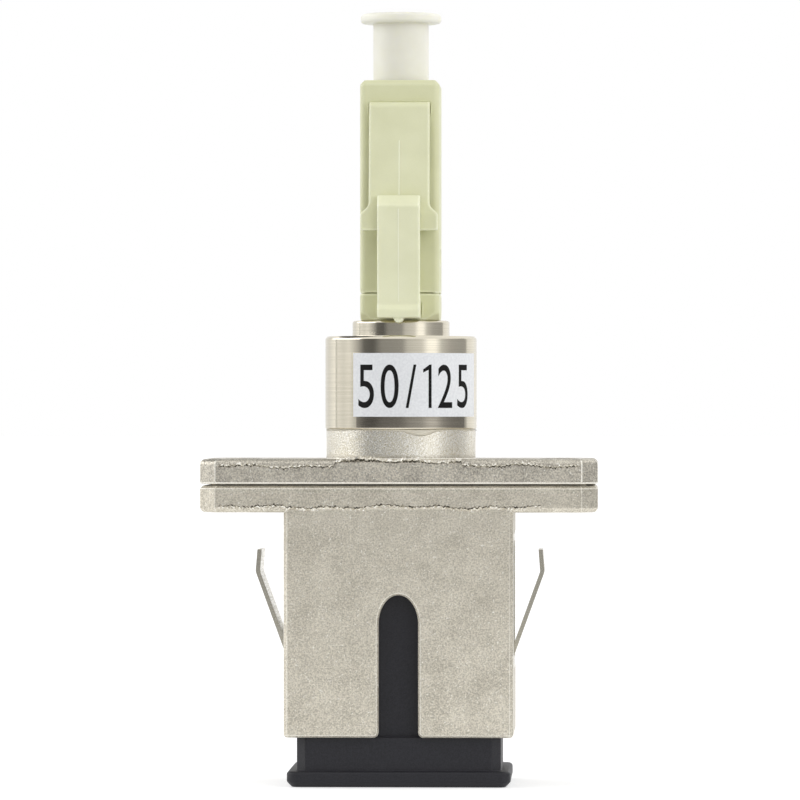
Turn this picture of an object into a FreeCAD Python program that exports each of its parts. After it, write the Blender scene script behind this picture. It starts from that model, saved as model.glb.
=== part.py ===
import FreeCAD, Part
import math
import os
from FreeCAD import Vector

# A hybrid fibre adapter: a small latched plug with a 1.25 mm ferrule on one end, a push-pull socket for a
# 2.5 mm ferrule on the other, in a cast housing with a panel flange.
# Millimetres. The fibre axis is Z and the dust plug's foot stands on Z = 0. The keyway, latch and trigger
# face -Y, and "out" is the distance from the axis towards that front.

# Dust plug: a foot to stand on, a block against the socket's mouth and a hollow skirt inside the socket
FOOT_WIDTH = 12.6
FOOT_DEPTH = 9.0
FOOT_HEIGHT = 0.9
FOOT_CORNER = 0.6
FOOT_TOP_EDGE = 0.12
FOOT_LOW_EDGE = 0.3
BLOCK_WIDTH = 11.5
BLOCK_DEPTH = 8.2
BLOCK_HEIGHT = 1.9
BLOCK_CORNER = 0.5
SKIRT_WALL = 0.85
SKIRT_CLEARANCE = 0.05
SKIRT_LEAD = 0.2
SKIRT_END_ROOM = 2.2
DUST_PLUG_FLOOR = 1.7
HOOK_SLOT_ROOM = 0.4

# Cast socket housing
BODY_WIDTH = 12.9
BODY_DEPTH = 9.3
BODY_LENGTH = 12.64
BODY_CORNER = 0.2
MOUTH_EDGE = 0.12
CAVITY_WIDTH = 9.05
CAVITY_DEPTH = 7.45
CAVITY_LENGTH = 10.8
CAVITY_CORNER = 0.3
KEYWAY_WIDTH = 2.22
KEYWAY_LENGTH = 8.0
KEYWAY_END_RISE = 1.6
KEYWAY_FLARE = 0.3
SEAT_LEDGE = 0.35

# Panel flange: two cast plates held together by two pressed-in bushes that also take the panel screws
FLANGE_WIDTH = 22.4
FLANGE_DEPTH = 9.4
FLANGE_PLATE = 1.5
FLANGE_CORNER = 0.9
FLANGE_EDGE = 0.32
FLANGE_SEAM_EDGE = 0.16
SEAM_RELIEF = 0.1
SEAM_RELIEF_WIDTH = 0.7
SCREW_INSET = 2.2
SCREW_HOLE = 2.2
BUSH_WALL = 0.25

# Spring clip: a U-band flush in a groove round the back and sides, with one sprung wing on each side
CLIP_SHEET = 0.24
CLIP_LOW = 3.8
CLIP_HEIGHT = 7.6
CLIP_FRONT_LEG = 2.6
CLIP_SLACK = 0.03
WING_WIDTH = 3.5
WING_ROOT = 0.7
WING_RISE = 4.75
WING_ANGLE = 20.0
WING_TIP = 1.25
WING_TIP_ANGLE = 4.5
WING_BEND = 0.3
WING_GAP = 0.15
WING_RELIEF = 0.8

# Moulded insert with the sleeve's tube and the two snap hooks
INSERT_CLEARANCE = 0.05
TUBE_WALL = 0.6
LIP_THICKNESS = 0.3
LIP_CLEARANCE = 0.15
HOOK_WIDTH = 3.2
HOOK_LENGTH = 6.2
HOOK_THICKNESS = 0.85
HOOK_TUBE_GAP = 0.45
HOOK_BARB = 0.5
HOOK_BARB_HEIGHT = 1.1
HOOK_KNUCKLE = 0.42
KNUCKLE_CLEARANCE = 0.03

# Ferrules, sleeve and fibre
SLEEVE_LENGTH = 11.4
SLEEVE_DIAMETER = 3.2
SLEEVE_SLIT = 0.5
SLEEVE_CLEARANCE = 0.015
SLEEVE_ROOM = 0.1
SLEEVE_END_PLAY = 0.1
SOCKET_FERRULE_DIAMETER = 2.5
SOCKET_FERRULE_SEAT = 1.3
PLUG_FERRULE_DIAMETER = 1.25
PLUG_FERRULE_LENGTH = 6.5
PLUG_FERRULE_SEAT = 1.5
FERRULE_PROTRUSION = 1.84
FERRULE_TIP_CHAMFER = 0.18
FIBRE_DIAMETER = 0.125
FIBRE_CLEARANCE = 0.001
HOLDER_BORE = 0.5
HOLDER_FLANGE_DIAMETER = 2.8
HOLDER_FLANGE_HEIGHT = 0.9
HOLDER_TUBE_DIAMETER = 1.9
HOLDER_CUP_WALL = 0.45
HOLDER_CLEARANCE = 0.1
TUBE_SEAT = 1.0
LOWER_CUP_WALL = 0.25
LOWER_CUP_ROOM = 0.2
FERRULE_TRAVEL = 0.8
SPRING_WIRE = 0.3
SPRING_TURNS = 3.0
SPRING_WIRE_SIDES = 4

# Neck housing and turned collar
NECK_DIAMETER = 8.5
NECK_HEIGHT = 1.66
SPIGOT_DIAMETER = 6.4
BARREL_DIAMETER = 8.62
BARREL_HEIGHT = 5.27
BARREL_TOP_EDGE = 0.12
BARREL_LOW_EDGE = 0.1
RING_DIAMETER = 5.53
RING_HEIGHT = 0.9
RING_EDGE = 0.2
PRESS_CLEARANCE = 0.01
LABEL_THICKNESS = 0.06
LABEL_HEIGHT = 3.58
LABEL_DROP = 0.97
LABEL_LEFT_ANGLE = 36.0
LABEL_RIGHT_ANGLE = 73.0

# Plug housings
PLUG_WIDTH = 4.5
PLUG_EDGE = 0.32
NOSE_EDGE = 0.25
REAR_BLOCK_HEIGHT = 1.52
REAR_CONE_DIAMETER = 5.3
TAIL_DIAMETER = 4.0
TAIL_LENGTH = 1.5
REAR_NOSE_LENGTH = 2.8
REAR_NOSE_DIAMETER = 3.0
TAB_WIDTH = 1.6
TAB_HEIGHT = 0.7
TAB_DROP = 0.35
TAB_INSET = 0.2
TAB_CLEARANCE = 0.08
FRONT_HOUSING_LENGTH = 12.07
STOP_WALL = 0.8
HOUSING_SEAM = 0.05
HOUSING_SEAM_DEPTH = 0.2

# Latch arm
LATCH_WIDTH = 3.42
LATCH_PIVOT_OUT = 0.15
LATCH_PIVOT_DROP = 1.66
LATCH_KNUCKLE = 0.4
LATCH_LUG_DROP = 8.55
LATCH_RISE = 0.72
LATCH_ROOT_THICKNESS = 0.45
LATCH_THICKNESS = 0.65
LUG_WIDTH = 4.38
LUG_HEIGHT = 0.94
LUG_SHOULDER = 0.45
LATCH_TAIL_WIDTH = 2.2
LATCH_TAIL_LENGTH = 0.6
MOULDED_EDGE = 0.12

# Release trigger
TRIGGER_WIDTH = 2.4
TRIGGER_PIVOT_OUT = 0.3
TRIGGER_PIVOT_RISE = 0.6
TRIGGER_KNUCKLE = 0.5
TRIGGER_LENGTH = 6.4
TRIGGER_GAP = 0.12
TRIGGER_FOOT_THICKNESS = 0.5
TRIGGER_TIP_THICKNESS = 0.9
TRIGGER_FOOT_RISE = 0.25
TRIGGER_LIP = 0.16
TRIGGER_LIP_BEVEL = 0.28
TRIGGER_TIP_BEVEL = 0.6
TRIGGER_NUB_GAP = 0.04
GATE_DIAMETER = 0.55
GATE_CLEARANCE = 0.05

# Ferrule cap
CAP_EXPOSED = 3.85
CAP_DIAMETER = 3.16
CAP_FLANGE_DIAMETER = 4.58
CAP_FLANGE_HEIGHT = 0.55
CAP_FLANGE_EDGE = 0.18
CAP_ROOT_BEVEL = 0.2
CAP_BORE_CLEARANCE = 0.02
CAP_FOOT_ROOM = 0.3
CAP_TIP_ROOM = 0.3
CAP_ROOM = 0.1

# Heights of the stack, from the foot up
mouth_z = FOOT_HEIGHT + BLOCK_HEIGHT
under_flange_z = mouth_z + BODY_LENGTH
seam_z = under_flange_z + FLANGE_PLATE
flange_top_z = seam_z + FLANGE_PLATE
neck_top_z = flange_top_z + NECK_HEIGHT
barrel_top_z = neck_top_z + BARREL_HEIGHT
ring_top_z = barrel_top_z + RING_HEIGHT
housing_seam_z = ring_top_z + REAR_BLOCK_HEIGHT
nose_z = housing_seam_z + FRONT_HOUSING_LENGTH
cap_top_z = nose_z + CAP_EXPOSED

# Bushes in the flange
bush_radius = SCREW_HOLE / 2 + BUSH_WALL
screw_x = FLANGE_WIDTH / 2 - SCREW_INSET

# Socket inside
seat_z = mouth_z + CAVITY_LENGTH
skirt_top_z = seat_z - SKIRT_END_ROOM
hook_tip_z = seat_z - HOOK_LENGTH
pocket_width = CAVITY_WIDTH + 2 * SEAT_LEDGE
pocket_depth = CAVITY_DEPTH + 2 * SEAT_LEDGE
sleeve_radius = SLEEVE_DIAMETER / 2
sleeve_bore_radius = sleeve_radius + SLEEVE_ROOM
tube_radius = sleeve_bore_radius + TUBE_WALL
socket_ferrule_radius = SOCKET_FERRULE_DIAMETER / 2
lip_radius = socket_ferrule_radius + LIP_CLEARANCE
sleeve_low_z = seam_z - SLEEVE_LENGTH / 2
sleeve_top_z = sleeve_low_z + SLEEVE_LENGTH
tube_low_z = sleeve_low_z - LIP_THICKNESS
sleeve_bore_top_z = sleeve_top_z + SLEEVE_END_PLAY
spigot_top_z = sleeve_bore_top_z + LIP_THICKNESS
hook_inner = tube_radius + HOOK_TUBE_GAP
hook_pivot_x = hook_inner + HOOK_THICKNESS / 2

# Ferrule train
plug_ferrule_radius = PLUG_FERRULE_DIAMETER / 2
plug_tip_z = nose_z + FERRULE_PROTRUSION
plug_ferrule_low_z = plug_tip_z - PLUG_FERRULE_LENGTH
upper_cup_top_z = plug_ferrule_low_z + PLUG_FERRULE_SEAT
upper_cup_radius = plug_ferrule_radius + HOLDER_CUP_WALL
cap_low_z = upper_cup_top_z + CAP_FOOT_ROOM
stop_top_z = cap_low_z - FERRULE_TRAVEL - CAP_FOOT_ROOM
stop_low_z = stop_top_z - STOP_WALL
holder_flange_low_z = stop_low_z - HOLDER_FLANGE_HEIGHT
holder_tube_radius = HOLDER_TUBE_DIAMETER / 2
lower_cup_low_z = spigot_top_z + FERRULE_TRAVEL + LOWER_CUP_ROOM
socket_ferrule_top_z = lower_cup_low_z + SOCKET_FERRULE_SEAT
lower_cup_top_z = socket_ferrule_top_z + TUBE_SEAT
lower_cup_radius = socket_ferrule_radius + LOWER_CUP_WALL
fibre_radius = FIBRE_DIAMETER / 2
rear_nose_top_z = housing_seam_z + REAR_NOSE_LENGTH
spring_bore_radius = REAR_NOSE_DIAMETER / 2

# Plug front: pivots and faces of the latch and the trigger
face_out = PLUG_WIDTH / 2
latch_pivot_out = face_out + LATCH_PIVOT_OUT
latch_pivot_z = nose_z - LATCH_PIVOT_DROP
latch_root_out = latch_pivot_out + LATCH_KNUCKLE
latch_lug_z = nose_z - LATCH_LUG_DROP
lug_top_z = latch_lug_z + LUG_HEIGHT
latch_out = latch_root_out + LATCH_RISE
trigger_pivot_out = face_out + TRIGGER_PIVOT_OUT
trigger_pivot_z = ring_top_z + TRIGGER_PIVOT_RISE
trigger_inner_out = latch_out + TRIGGER_GAP

# Clip wings
wing_pivot_x = (BODY_WIDTH - CLIP_SHEET) / 2
clip_low_z = mouth_z + CLIP_LOW
wing_pivot_z = clip_low_z + WING_ROOT
wing_slope = math.radians(WING_ANGLE)
wing_lean = math.radians(WING_TIP_ANGLE)
wing_length = WING_RISE / math.cos(wing_slope) + WING_TIP / math.cos(wing_lean)
wing_window_top_z = wing_pivot_z + wing_length + WING_GAP

CUT_MARGIN = 1.0
TOUCH = 1e-6


def block(width, depth, low_z, top_z):
    """Box centred on the axis."""
    return Part.makeBox(width, depth, top_z - low_z, Vector(-width / 2, -depth / 2, low_z))


def rounded_block(width, depth, corner, low_z, top_z):
    """Box centred on the axis with rounded upright edges."""
    solid = block(width, depth, low_z, top_z)
    upright = [edge for edge in solid.Edges if edge.BoundBox.ZLength > TOUCH]
    return solid.makeFillet(corner, upright)


def bevelled_block(width, depth, corner, low_z, top_z):
    """Box centred on the axis with bevelled upright edges."""
    x = width / 2
    y = depth / 2
    corners = [(-x, -y, corner), (x, -y, corner), (x, y, corner), (-x, y, corner)]
    face = outline_face(corners, lambda a, b: Vector(a, b, low_z), bevelled_corner)
    return face.extrude(Vector(0, 0, top_z - low_z))


def cylinder(radius, low_z, top_z):
    return Part.makeCylinder(radius, top_z - low_z, Vector(0, 0, low_z))


def cross_pin(radius, length, out, z):
    """Cylinder along X, at a height z and a distance out to the front."""
    return Part.makeCylinder(radius, length, Vector(-length / 2, -out, z), Vector(1, 0, 0))


def rounded_corner(before, corner, after, radius):
    """Arc that rounds one corner of an outline."""
    back = (before - corner).normalize()
    ahead = (after - corner).normalize()
    half = back.getAngle(ahead) / 2
    reach = radius / math.tan(half)
    crown = (back + ahead).normalize() * (radius / math.sin(half) - radius)
    return Part.Arc(corner + back * reach, corner + crown, corner + ahead * reach).toShape()


def bevelled_corner(before, corner, after, width):
    """Straight bevel across one corner of an outline, width along each side."""
    back = (before - corner).normalize()
    ahead = (after - corner).normalize()
    return Part.LineSegment(corner + back * width, corner + ahead * width).toShape()


def outline_face(corners, place, finish):
    """Face inside corners (a, b, size), each finished by its size; place turns (a, b) into a point."""
    points = [place(a, b) for a, b, size in corners]
    stops = []
    edges = []
    for i, (a, b, size) in enumerate(corners):
        if size == 0:
            stops.append((points[i], points[i]))
            continue
        edge = finish(points[i - 1], points[i], points[(i + 1) % len(points)], size)
        edges.append(edge)
        stops.append((edge.Vertexes[0].Point, edge.Vertexes[1].Point))
    for i, (first, last) in enumerate(stops):
        edges.append(Part.LineSegment(stops[i - 1][1], first).toShape())
    return Part.Face(Part.Wire(Part.__sortEdges__(edges)))


def turned(corners):
    """Solid of revolution about the axis, from corners (radius from the axis, z, bevel)."""
    face = outline_face(corners, lambda r, z: Vector(r, 0, z), bevelled_corner)
    return face.revolve(Vector(0, 0, 0), Vector(0, 0, 1), 360)


def side_profile(corners, width):
    """Solid of one width along X, from corners (out, z, rounding) seen from the side."""
    face = outline_face(corners, lambda out, z: Vector(-width / 2, -out, z), rounded_corner)
    return face.extrude(Vector(width, 0, 0))


def front_profile(corners, near_out, far_out):
    """Solid between two distances from the axis, from corners (x, z, rounding) seen from the front."""
    face = outline_face(corners, lambda x, z: Vector(x, -far_out, z), rounded_corner)
    return face.extrude(Vector(0, far_out - near_out, 0))


def level_edges(solid, z):
    """Edges that lie wholly at one height."""
    return [e for e in solid.Edges if abs(e.BoundBox.ZMin - z) < TOUCH and abs(e.BoundBox.ZMax - z) < TOUCH]


def mirrored(solid):
    """The same piece on the other side of the axis."""
    return solid.mirror(Vector(0, 0, 0), Vector(1, 0, 0))


def dust_plug():
    foot = rounded_block(FOOT_WIDTH, FOOT_DEPTH, FOOT_CORNER, 0, FOOT_HEIGHT)
    foot = foot.makeChamfer(FOOT_LOW_EDGE, level_edges(foot, 0))
    foot = foot.makeChamfer(FOOT_TOP_EDGE, level_edges(foot, FOOT_HEIGHT))
    plug = foot.fuse(bevelled_block(BLOCK_WIDTH, BLOCK_DEPTH, BLOCK_CORNER, FOOT_HEIGHT, mouth_z))
    skirt_width = CAVITY_WIDTH - 2 * SKIRT_CLEARANCE
    skirt_depth = CAVITY_DEPTH - 2 * SKIRT_CLEARANCE
    skirt = bevelled_block(skirt_width, skirt_depth, CAVITY_CORNER, mouth_z, skirt_top_z)
    skirt = skirt.makeChamfer(SKIRT_LEAD, level_edges(skirt, skirt_top_z))
    hollow = bevelled_block(
        skirt_width - 2 * SKIRT_WALL,
        skirt_depth - 2 * SKIRT_WALL,
        CAVITY_CORNER,
        DUST_PLUG_FLOOR,
        skirt_top_z + CUT_MARGIN,
    )
    slot_width = HOOK_WIDTH + 2 * HOOK_SLOT_ROOM
    hook_slots = block(CAVITY_WIDTH, slot_width, hook_tip_z - HOOK_SLOT_ROOM, skirt_top_z + CUT_MARGIN)
    return plug.fuse(skirt).cut([hollow, hook_slots]).removeSplitter()


def flange_plate(low_z, outer_z, seam_edge_z):
    """Flange plate with cut corners; outer_z is its free face and seam_edge_z the face at the seam."""
    plate = bevelled_block(FLANGE_WIDTH, FLANGE_DEPTH, FLANGE_CORNER, low_z, low_z + FLANGE_PLATE)
    plate = plate.makeFillet(FLANGE_EDGE, level_edges(plate, outer_z))
    return plate.makeChamfer(FLANGE_SEAM_EDGE, level_edges(plate, seam_edge_z))


def screw_cylinders(radius):
    """Pair of upright cylinders through both flange plates, at the screw holes."""
    pin = cylinder(radius, under_flange_z, flange_top_z)
    return [pin.translated(Vector(x, 0, 0)) for x in (-screw_x, screw_x)]


def flange_bushes():
    holes = screw_cylinders(SCREW_HOLE / 2)
    return Part.makeCompound([bush.cut(holes) for bush in screw_cylinders(bush_radius)])


def keyway():
    """Cut through the front wall: straight sides, an elliptical end and a flared mouth."""
    half = KEYWAY_WIDTH / 2
    top_z = mouth_z + KEYWAY_LENGTH
    spring_z = top_z - KEYWAY_END_RISE
    front_out = BODY_DEPTH / 2 + CUT_MARGIN
    slot = front_profile([
        (-half, spring_z, 0), (half, spring_z, 0), (half, mouth_z, KEYWAY_FLARE),
        (half + CUT_MARGIN, mouth_z, 0), (half + CUT_MARGIN, mouth_z - CUT_MARGIN, 0),
        (-half - CUT_MARGIN, mouth_z - CUT_MARGIN, 0), (-half - CUT_MARGIN, mouth_z, 0),
        (-half, mouth_z, KEYWAY_FLARE),
    ], 0, front_out)
    centre = Vector(0, -front_out, spring_z)
    ends = [(KEYWAY_END_RISE, Vector(0, 0, KEYWAY_END_RISE)), (half, Vector(half, 0, 0))]
    ends.sort(key=lambda end: end[0], reverse=True)
    ellipse = Part.Ellipse(centre + ends[0][1], centre + ends[1][1], centre)
    rounded_end = Part.Face(Part.Wire([ellipse.toShape()])).extrude(Vector(0, front_out, 0))
    return slot.fuse(rounded_end).removeSplitter()


def clip_band(front_leg, slack):
    """U-band round the back and both sides, as deep as the clip's sheet."""
    back = BODY_DEPTH / 2
    inner_width = BODY_WIDTH - 2 * CLIP_SHEET
    low_z = clip_low_z - slack
    height = CLIP_HEIGHT + 2 * slack
    outer = Part.makeBox(BODY_WIDTH, front_leg + back, height, Vector(-BODY_WIDTH / 2, -front_leg, low_z))
    corners = [e for e in outer.Edges if e.BoundBox.ZLength > TOUCH and e.BoundBox.YMin > 0]
    outer = outer.makeChamfer(BODY_CORNER, corners)
    inner = Part.makeBox(
        inner_width,
        front_leg + back - CLIP_SHEET + CUT_MARGIN,
        height + 2 * CUT_MARGIN,
        Vector(-inner_width / 2, -front_leg - CUT_MARGIN, low_z - CUT_MARGIN),
    )
    return outer.cut(inner)


def wing_window(low_z, depth):
    """Pair of side cuts in which the wings move, depth below the side faces."""
    width = WING_WIDTH + 2 * WING_GAP
    outer = block(BODY_WIDTH + 2 * CUT_MARGIN, width, low_z, wing_window_top_z)
    return outer.cut(block(BODY_WIDTH - 2 * depth, width, low_z, wing_window_top_z))


def panel_clip():
    return clip_band(CLIP_FRONT_LEG, 0).cut(wing_window(wing_pivot_z - WING_GAP, 2 * CLIP_SHEET))


def clip_wing_right():
    """Sprung wing: a rounded root, a sloping leaf and a tip bent back towards the body."""
    half = CLIP_SHEET / 2
    bend_x = wing_pivot_x + WING_RISE * math.tan(wing_slope)
    bend_z = wing_pivot_z + WING_RISE
    tip_x = bend_x - WING_TIP * math.tan(wing_lean)
    tip_z = bend_z + WING_TIP
    leaf = half / math.cos(wing_slope)
    tip = half / math.cos(wing_lean)
    root_end = Vector(wing_pivot_x, -WING_WIDTH / 2, wing_pivot_z)
    root = Part.makeCylinder(half, WING_WIDTH, root_end, Vector(0, 1, 0))
    corners = [
        (wing_pivot_x + leaf, wing_pivot_z, 0), (bend_x + leaf, bend_z, WING_BEND + CLIP_SHEET),
        (tip_x + tip, tip_z, 0), (tip_x - tip, tip_z, 0),
        (bend_x - leaf, bend_z, WING_BEND), (wing_pivot_x - leaf, wing_pivot_z, 0),
    ]
    return front_profile(corners, -WING_WIDTH / 2, WING_WIDTH / 2).fuse(root).removeSplitter()


def socket_housing():
    body = bevelled_block(BODY_WIDTH, BODY_DEPTH, BODY_CORNER, mouth_z, seam_z - FLANGE_PLATE / 2)
    cavity = bevelled_block(CAVITY_WIDTH, CAVITY_DEPTH, CAVITY_CORNER, mouth_z - CUT_MARGIN, seat_z)
    pocket = bevelled_block(pocket_width, pocket_depth, CAVITY_CORNER, seat_z, seam_z + CUT_MARGIN)
    housing = body.cut([cavity, keyway()])
    mouth_edges = [edge for edge in level_edges(housing, mouth_z) if on_outside(edge)]
    keyway_edges = [edge for edge in housing.Edges if on_keyway(edge)]
    housing = housing.makeChamfer(MOUTH_EDGE, mouth_edges + keyway_edges)
    plate = flange_plate(under_flange_z, under_flange_z, seam_z)
    groove = clip_band(CLIP_FRONT_LEG + CLIP_SLACK, CLIP_SLACK)
    relief = wing_window(wing_pivot_z - WING_GAP, WING_RELIEF)
    cuts = [cavity, pocket, groove, relief] + screw_cylinders(bush_radius)
    return housing.fuse(plate).cut(cuts).removeSplitter()


def on_outside(edge):
    """True for an edge on the outer faces of the housing's body."""
    middle = edge.CenterOfMass
    return abs(middle.x) > BODY_WIDTH / 2 - BODY_CORNER or abs(middle.y) > BODY_DEPTH / 2 - BODY_CORNER


def on_keyway(edge):
    """True for an edge of the keyway's outline on the front face."""
    box = edge.BoundBox
    in_front = box.YMax < -BODY_DEPTH / 2 + TOUCH and box.ZLength > TOUCH
    return in_front and abs(edge.CenterOfMass.x) < KEYWAY_WIDTH / 2 + KEYWAY_FLARE


def neck_housing():
    plate = flange_plate(seam_z, flange_top_z, seam_z)
    relief = block(FLANGE_WIDTH, FLANGE_DEPTH, seam_z - CUT_MARGIN, seam_z + SEAM_RELIEF)
    land_width = FLANGE_WIDTH - 2 * SEAM_RELIEF_WIDTH
    land_depth = FLANGE_DEPTH - 2 * SEAM_RELIEF_WIDTH
    relief = relief.cut(block(land_width, land_depth, seam_z - CUT_MARGIN, seam_z + CUT_MARGIN))
    stem = turned([
        (0, flange_top_z - FLANGE_PLATE / 2, 0), (NECK_DIAMETER / 2, flange_top_z - FLANGE_PLATE / 2, 0),
        (NECK_DIAMETER / 2, neck_top_z, 0), (SPIGOT_DIAMETER / 2, neck_top_z, 0),
        (SPIGOT_DIAMETER / 2, spigot_top_z, 0), (0, spigot_top_z, 0),
    ])
    bore = cylinder(sleeve_bore_radius, seam_z - CUT_MARGIN, sleeve_bore_top_z)
    lip = cylinder(lip_radius, sleeve_bore_top_z, spigot_top_z + CUT_MARGIN)
    return plate.fuse(stem).cut([relief, bore, lip] + screw_cylinders(bush_radius)).removeSplitter()


def hook_knuckle(radius, length):
    """Hinge cylinder of the right hook, along Y, at the insert's seat."""
    return Part.makeCylinder(radius, length, Vector(hook_pivot_x, -length / 2, seat_z), Vector(0, 1, 0))


def hook_insert():
    width = pocket_width - 2 * INSERT_CLEARANCE
    depth = pocket_depth - 2 * INSERT_CLEARANCE
    base = bevelled_block(width, depth, CAVITY_CORNER, seat_z, seam_z - INSERT_CLEARANCE)
    tube = cylinder(tube_radius, tube_low_z, seat_z + TUBE_WALL)
    bore = cylinder(sleeve_bore_radius, sleeve_low_z, seam_z + CUT_MARGIN)
    lip = cylinder(lip_radius, tube_low_z - CUT_MARGIN, sleeve_low_z)
    groove = hook_knuckle(HOOK_KNUCKLE + KNUCKLE_CLEARANCE, HOOK_WIDTH + 2 * KNUCKLE_CLEARANCE)
    return base.fuse(tube).cut([bore, lip, groove, mirrored(groove)]).removeSplitter()


def socket_hook_right():
    """Snap hook: a flat arm with a slanted barb that faces the sleeve, on a rounded root."""
    outer = hook_inner + HOOK_THICKNESS
    barb_z = hook_tip_z + HOOK_BARB_HEIGHT
    arm = front_profile([
        (hook_inner, seat_z, 0), (hook_inner, barb_z, 0), (hook_inner - HOOK_BARB, barb_z, 0),
        (hook_inner - HOOK_BARB, barb_z - HOOK_BARB / 2, 0), (hook_inner + HOOK_THICKNESS / 2, hook_tip_z, 0),
        (outer, hook_tip_z, 0), (outer, seat_z, 0),
    ], -HOOK_WIDTH / 2, HOOK_WIDTH / 2)
    swing_room = block(2 * CUT_MARGIN + 2 * outer, HOOK_WIDTH, seat_z - HOOK_KNUCKLE / 2, seat_z + CUT_MARGIN)
    return arm.cut(swing_room).fuse(hook_knuckle(HOOK_KNUCKLE, HOOK_WIDTH)).removeSplitter()


def split_sleeve():
    inner = socket_ferrule_radius + SLEEVE_CLEARANCE
    slit_corner = Vector(-SLEEVE_SLIT / 2, 0, sleeve_low_z)
    slit = Part.makeBox(SLEEVE_SLIT, SLEEVE_DIAMETER, SLEEVE_LENGTH, slit_corner)
    sleeve = cylinder(sleeve_radius, sleeve_low_z, sleeve_top_z)
    return sleeve.cut([cylinder(inner, sleeve_low_z, sleeve_top_z), slit])


def socket_ferrule():
    fibre_bore = fibre_radius + FIBRE_CLEARANCE
    return turned([
        (fibre_bore, seam_z, 0), (socket_ferrule_radius - FERRULE_TIP_CHAMFER, seam_z, 0),
        (socket_ferrule_radius, seam_z + 2 * FERRULE_TIP_CHAMFER, 0),
        (socket_ferrule_radius, socket_ferrule_top_z, 0), (fibre_bore, socket_ferrule_top_z, 0),
    ])


def socket_ferrule_holder():
    """Cup pressed on the rear end of the 2.5 mm ferrule and on the tube above it."""
    return turned([
        (socket_ferrule_radius, lower_cup_low_z, 0), (lower_cup_radius, lower_cup_low_z, 0),
        (lower_cup_radius, lower_cup_top_z, 0), (holder_tube_radius, lower_cup_top_z, 0),
        (holder_tube_radius, socket_ferrule_top_z, 0), (socket_ferrule_radius, socket_ferrule_top_z, 0),
    ])


def plug_ferrule():
    fibre_bore = fibre_radius + FIBRE_CLEARANCE
    return turned([
        (fibre_bore, plug_ferrule_low_z, 0), (plug_ferrule_radius, plug_ferrule_low_z, 0),
        (plug_ferrule_radius, plug_tip_z - FERRULE_TIP_CHAMFER, 0),
        (plug_ferrule_radius - FERRULE_TIP_CHAMFER, plug_tip_z, 0), (fibre_bore, plug_tip_z, 0),
    ])


def plug_ferrule_holder():
    """Flanged tube: the 1.25 mm ferrule is pressed in its upper end, and the spring pushes on its flange."""
    bore = HOLDER_BORE / 2
    flange = HOLDER_FLANGE_DIAMETER / 2
    return turned([
        (bore, socket_ferrule_top_z, 0), (holder_tube_radius, socket_ferrule_top_z, 0),
        (holder_tube_radius, holder_flange_low_z, 0), (flange, holder_flange_low_z, 0),
        (flange, stop_low_z, 0), (upper_cup_radius, stop_low_z, 0), (upper_cup_radius, upper_cup_top_z, 0),
        (plug_ferrule_radius, upper_cup_top_z, 0), (plug_ferrule_radius, plug_ferrule_low_z, 0),
        (bore, plug_ferrule_low_z, 0),
    ])


def fibre():
    return cylinder(fibre_radius, seam_z, plug_tip_z)


def ferrule_spring():
    mean_radius = spring_bore_radius - HOLDER_CLEARANCE - SPRING_WIRE / 2
    rise = holder_flange_low_z - rear_nose_top_z - SPRING_WIRE
    low_z = rear_nose_top_z + SPRING_WIRE / 2
    coil = Part.makeHelix(rise / SPRING_TURNS, rise, mean_radius)
    coil.translate(Vector(0, 0, low_z))
    turns = [2 * math.pi * i / SPRING_WIRE_SIDES for i in range(SPRING_WIRE_SIDES + 1)]
    reach = SPRING_WIRE / 2
    section = Part.makePolygon([
        Vector(mean_radius + reach * math.cos(turn), 0, low_z + reach * math.sin(turn)) for turn in turns
    ])
    return coil.makePipeShell([section], True, True)


def collar():
    """Turned barrel with a small ring on top, bored for the spigot below and for the plug's tail above."""
    tail_bore = TAIL_DIAMETER / 2
    spigot_bore = SPIGOT_DIAMETER / 2 + PRESS_CLEARANCE
    barrel = BARREL_DIAMETER / 2
    ring = RING_DIAMETER / 2
    shoulder_z = spigot_top_z + SLEEVE_END_PLAY
    return turned([
        (spigot_bore, neck_top_z, 0), (barrel, neck_top_z, BARREL_LOW_EDGE),
        (barrel, barrel_top_z, BARREL_TOP_EDGE), (ring, barrel_top_z, 0), (ring, ring_top_z, RING_EDGE),
        (tail_bore, ring_top_z, 0), (tail_bore, shoulder_z, 0), (spigot_bore, shoulder_z, 0),
    ])


def label():
    """Thin wrap on the barrel, from left of the front to further right of it."""
    barrel = BARREL_DIAMETER / 2
    low_z = barrel_top_z - LABEL_DROP - LABEL_HEIGHT
    span = LABEL_LEFT_ANGLE + LABEL_RIGHT_ANGLE
    up = Vector(0, 0, 1)
    wrap = Part.makeCylinder(barrel + LABEL_THICKNESS, LABEL_HEIGHT, Vector(0, 0, low_z), up, span)
    wrap = wrap.cut(cylinder(barrel, low_z - CUT_MARGIN, barrel_top_z))
    wrap.rotate(Vector(0, 0, 0), up, -90 - LABEL_LEFT_ANGLE)
    return wrap


def snap_tabs(width, clearance):
    """Pair of tabs across the rear nose, or with a clearance the side windows that they snap into."""
    top_z = rear_nose_top_z - TAB_DROP + clearance
    return block(width, TAB_WIDTH + 2 * clearance, top_z - TAB_HEIGHT - 2 * clearance, top_z)


def trigger_knuckle(clearance):
    return cross_pin(
        TRIGGER_KNUCKLE + clearance, TRIGGER_WIDTH + 2 * clearance, trigger_pivot_out, trigger_pivot_z
    )


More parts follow.
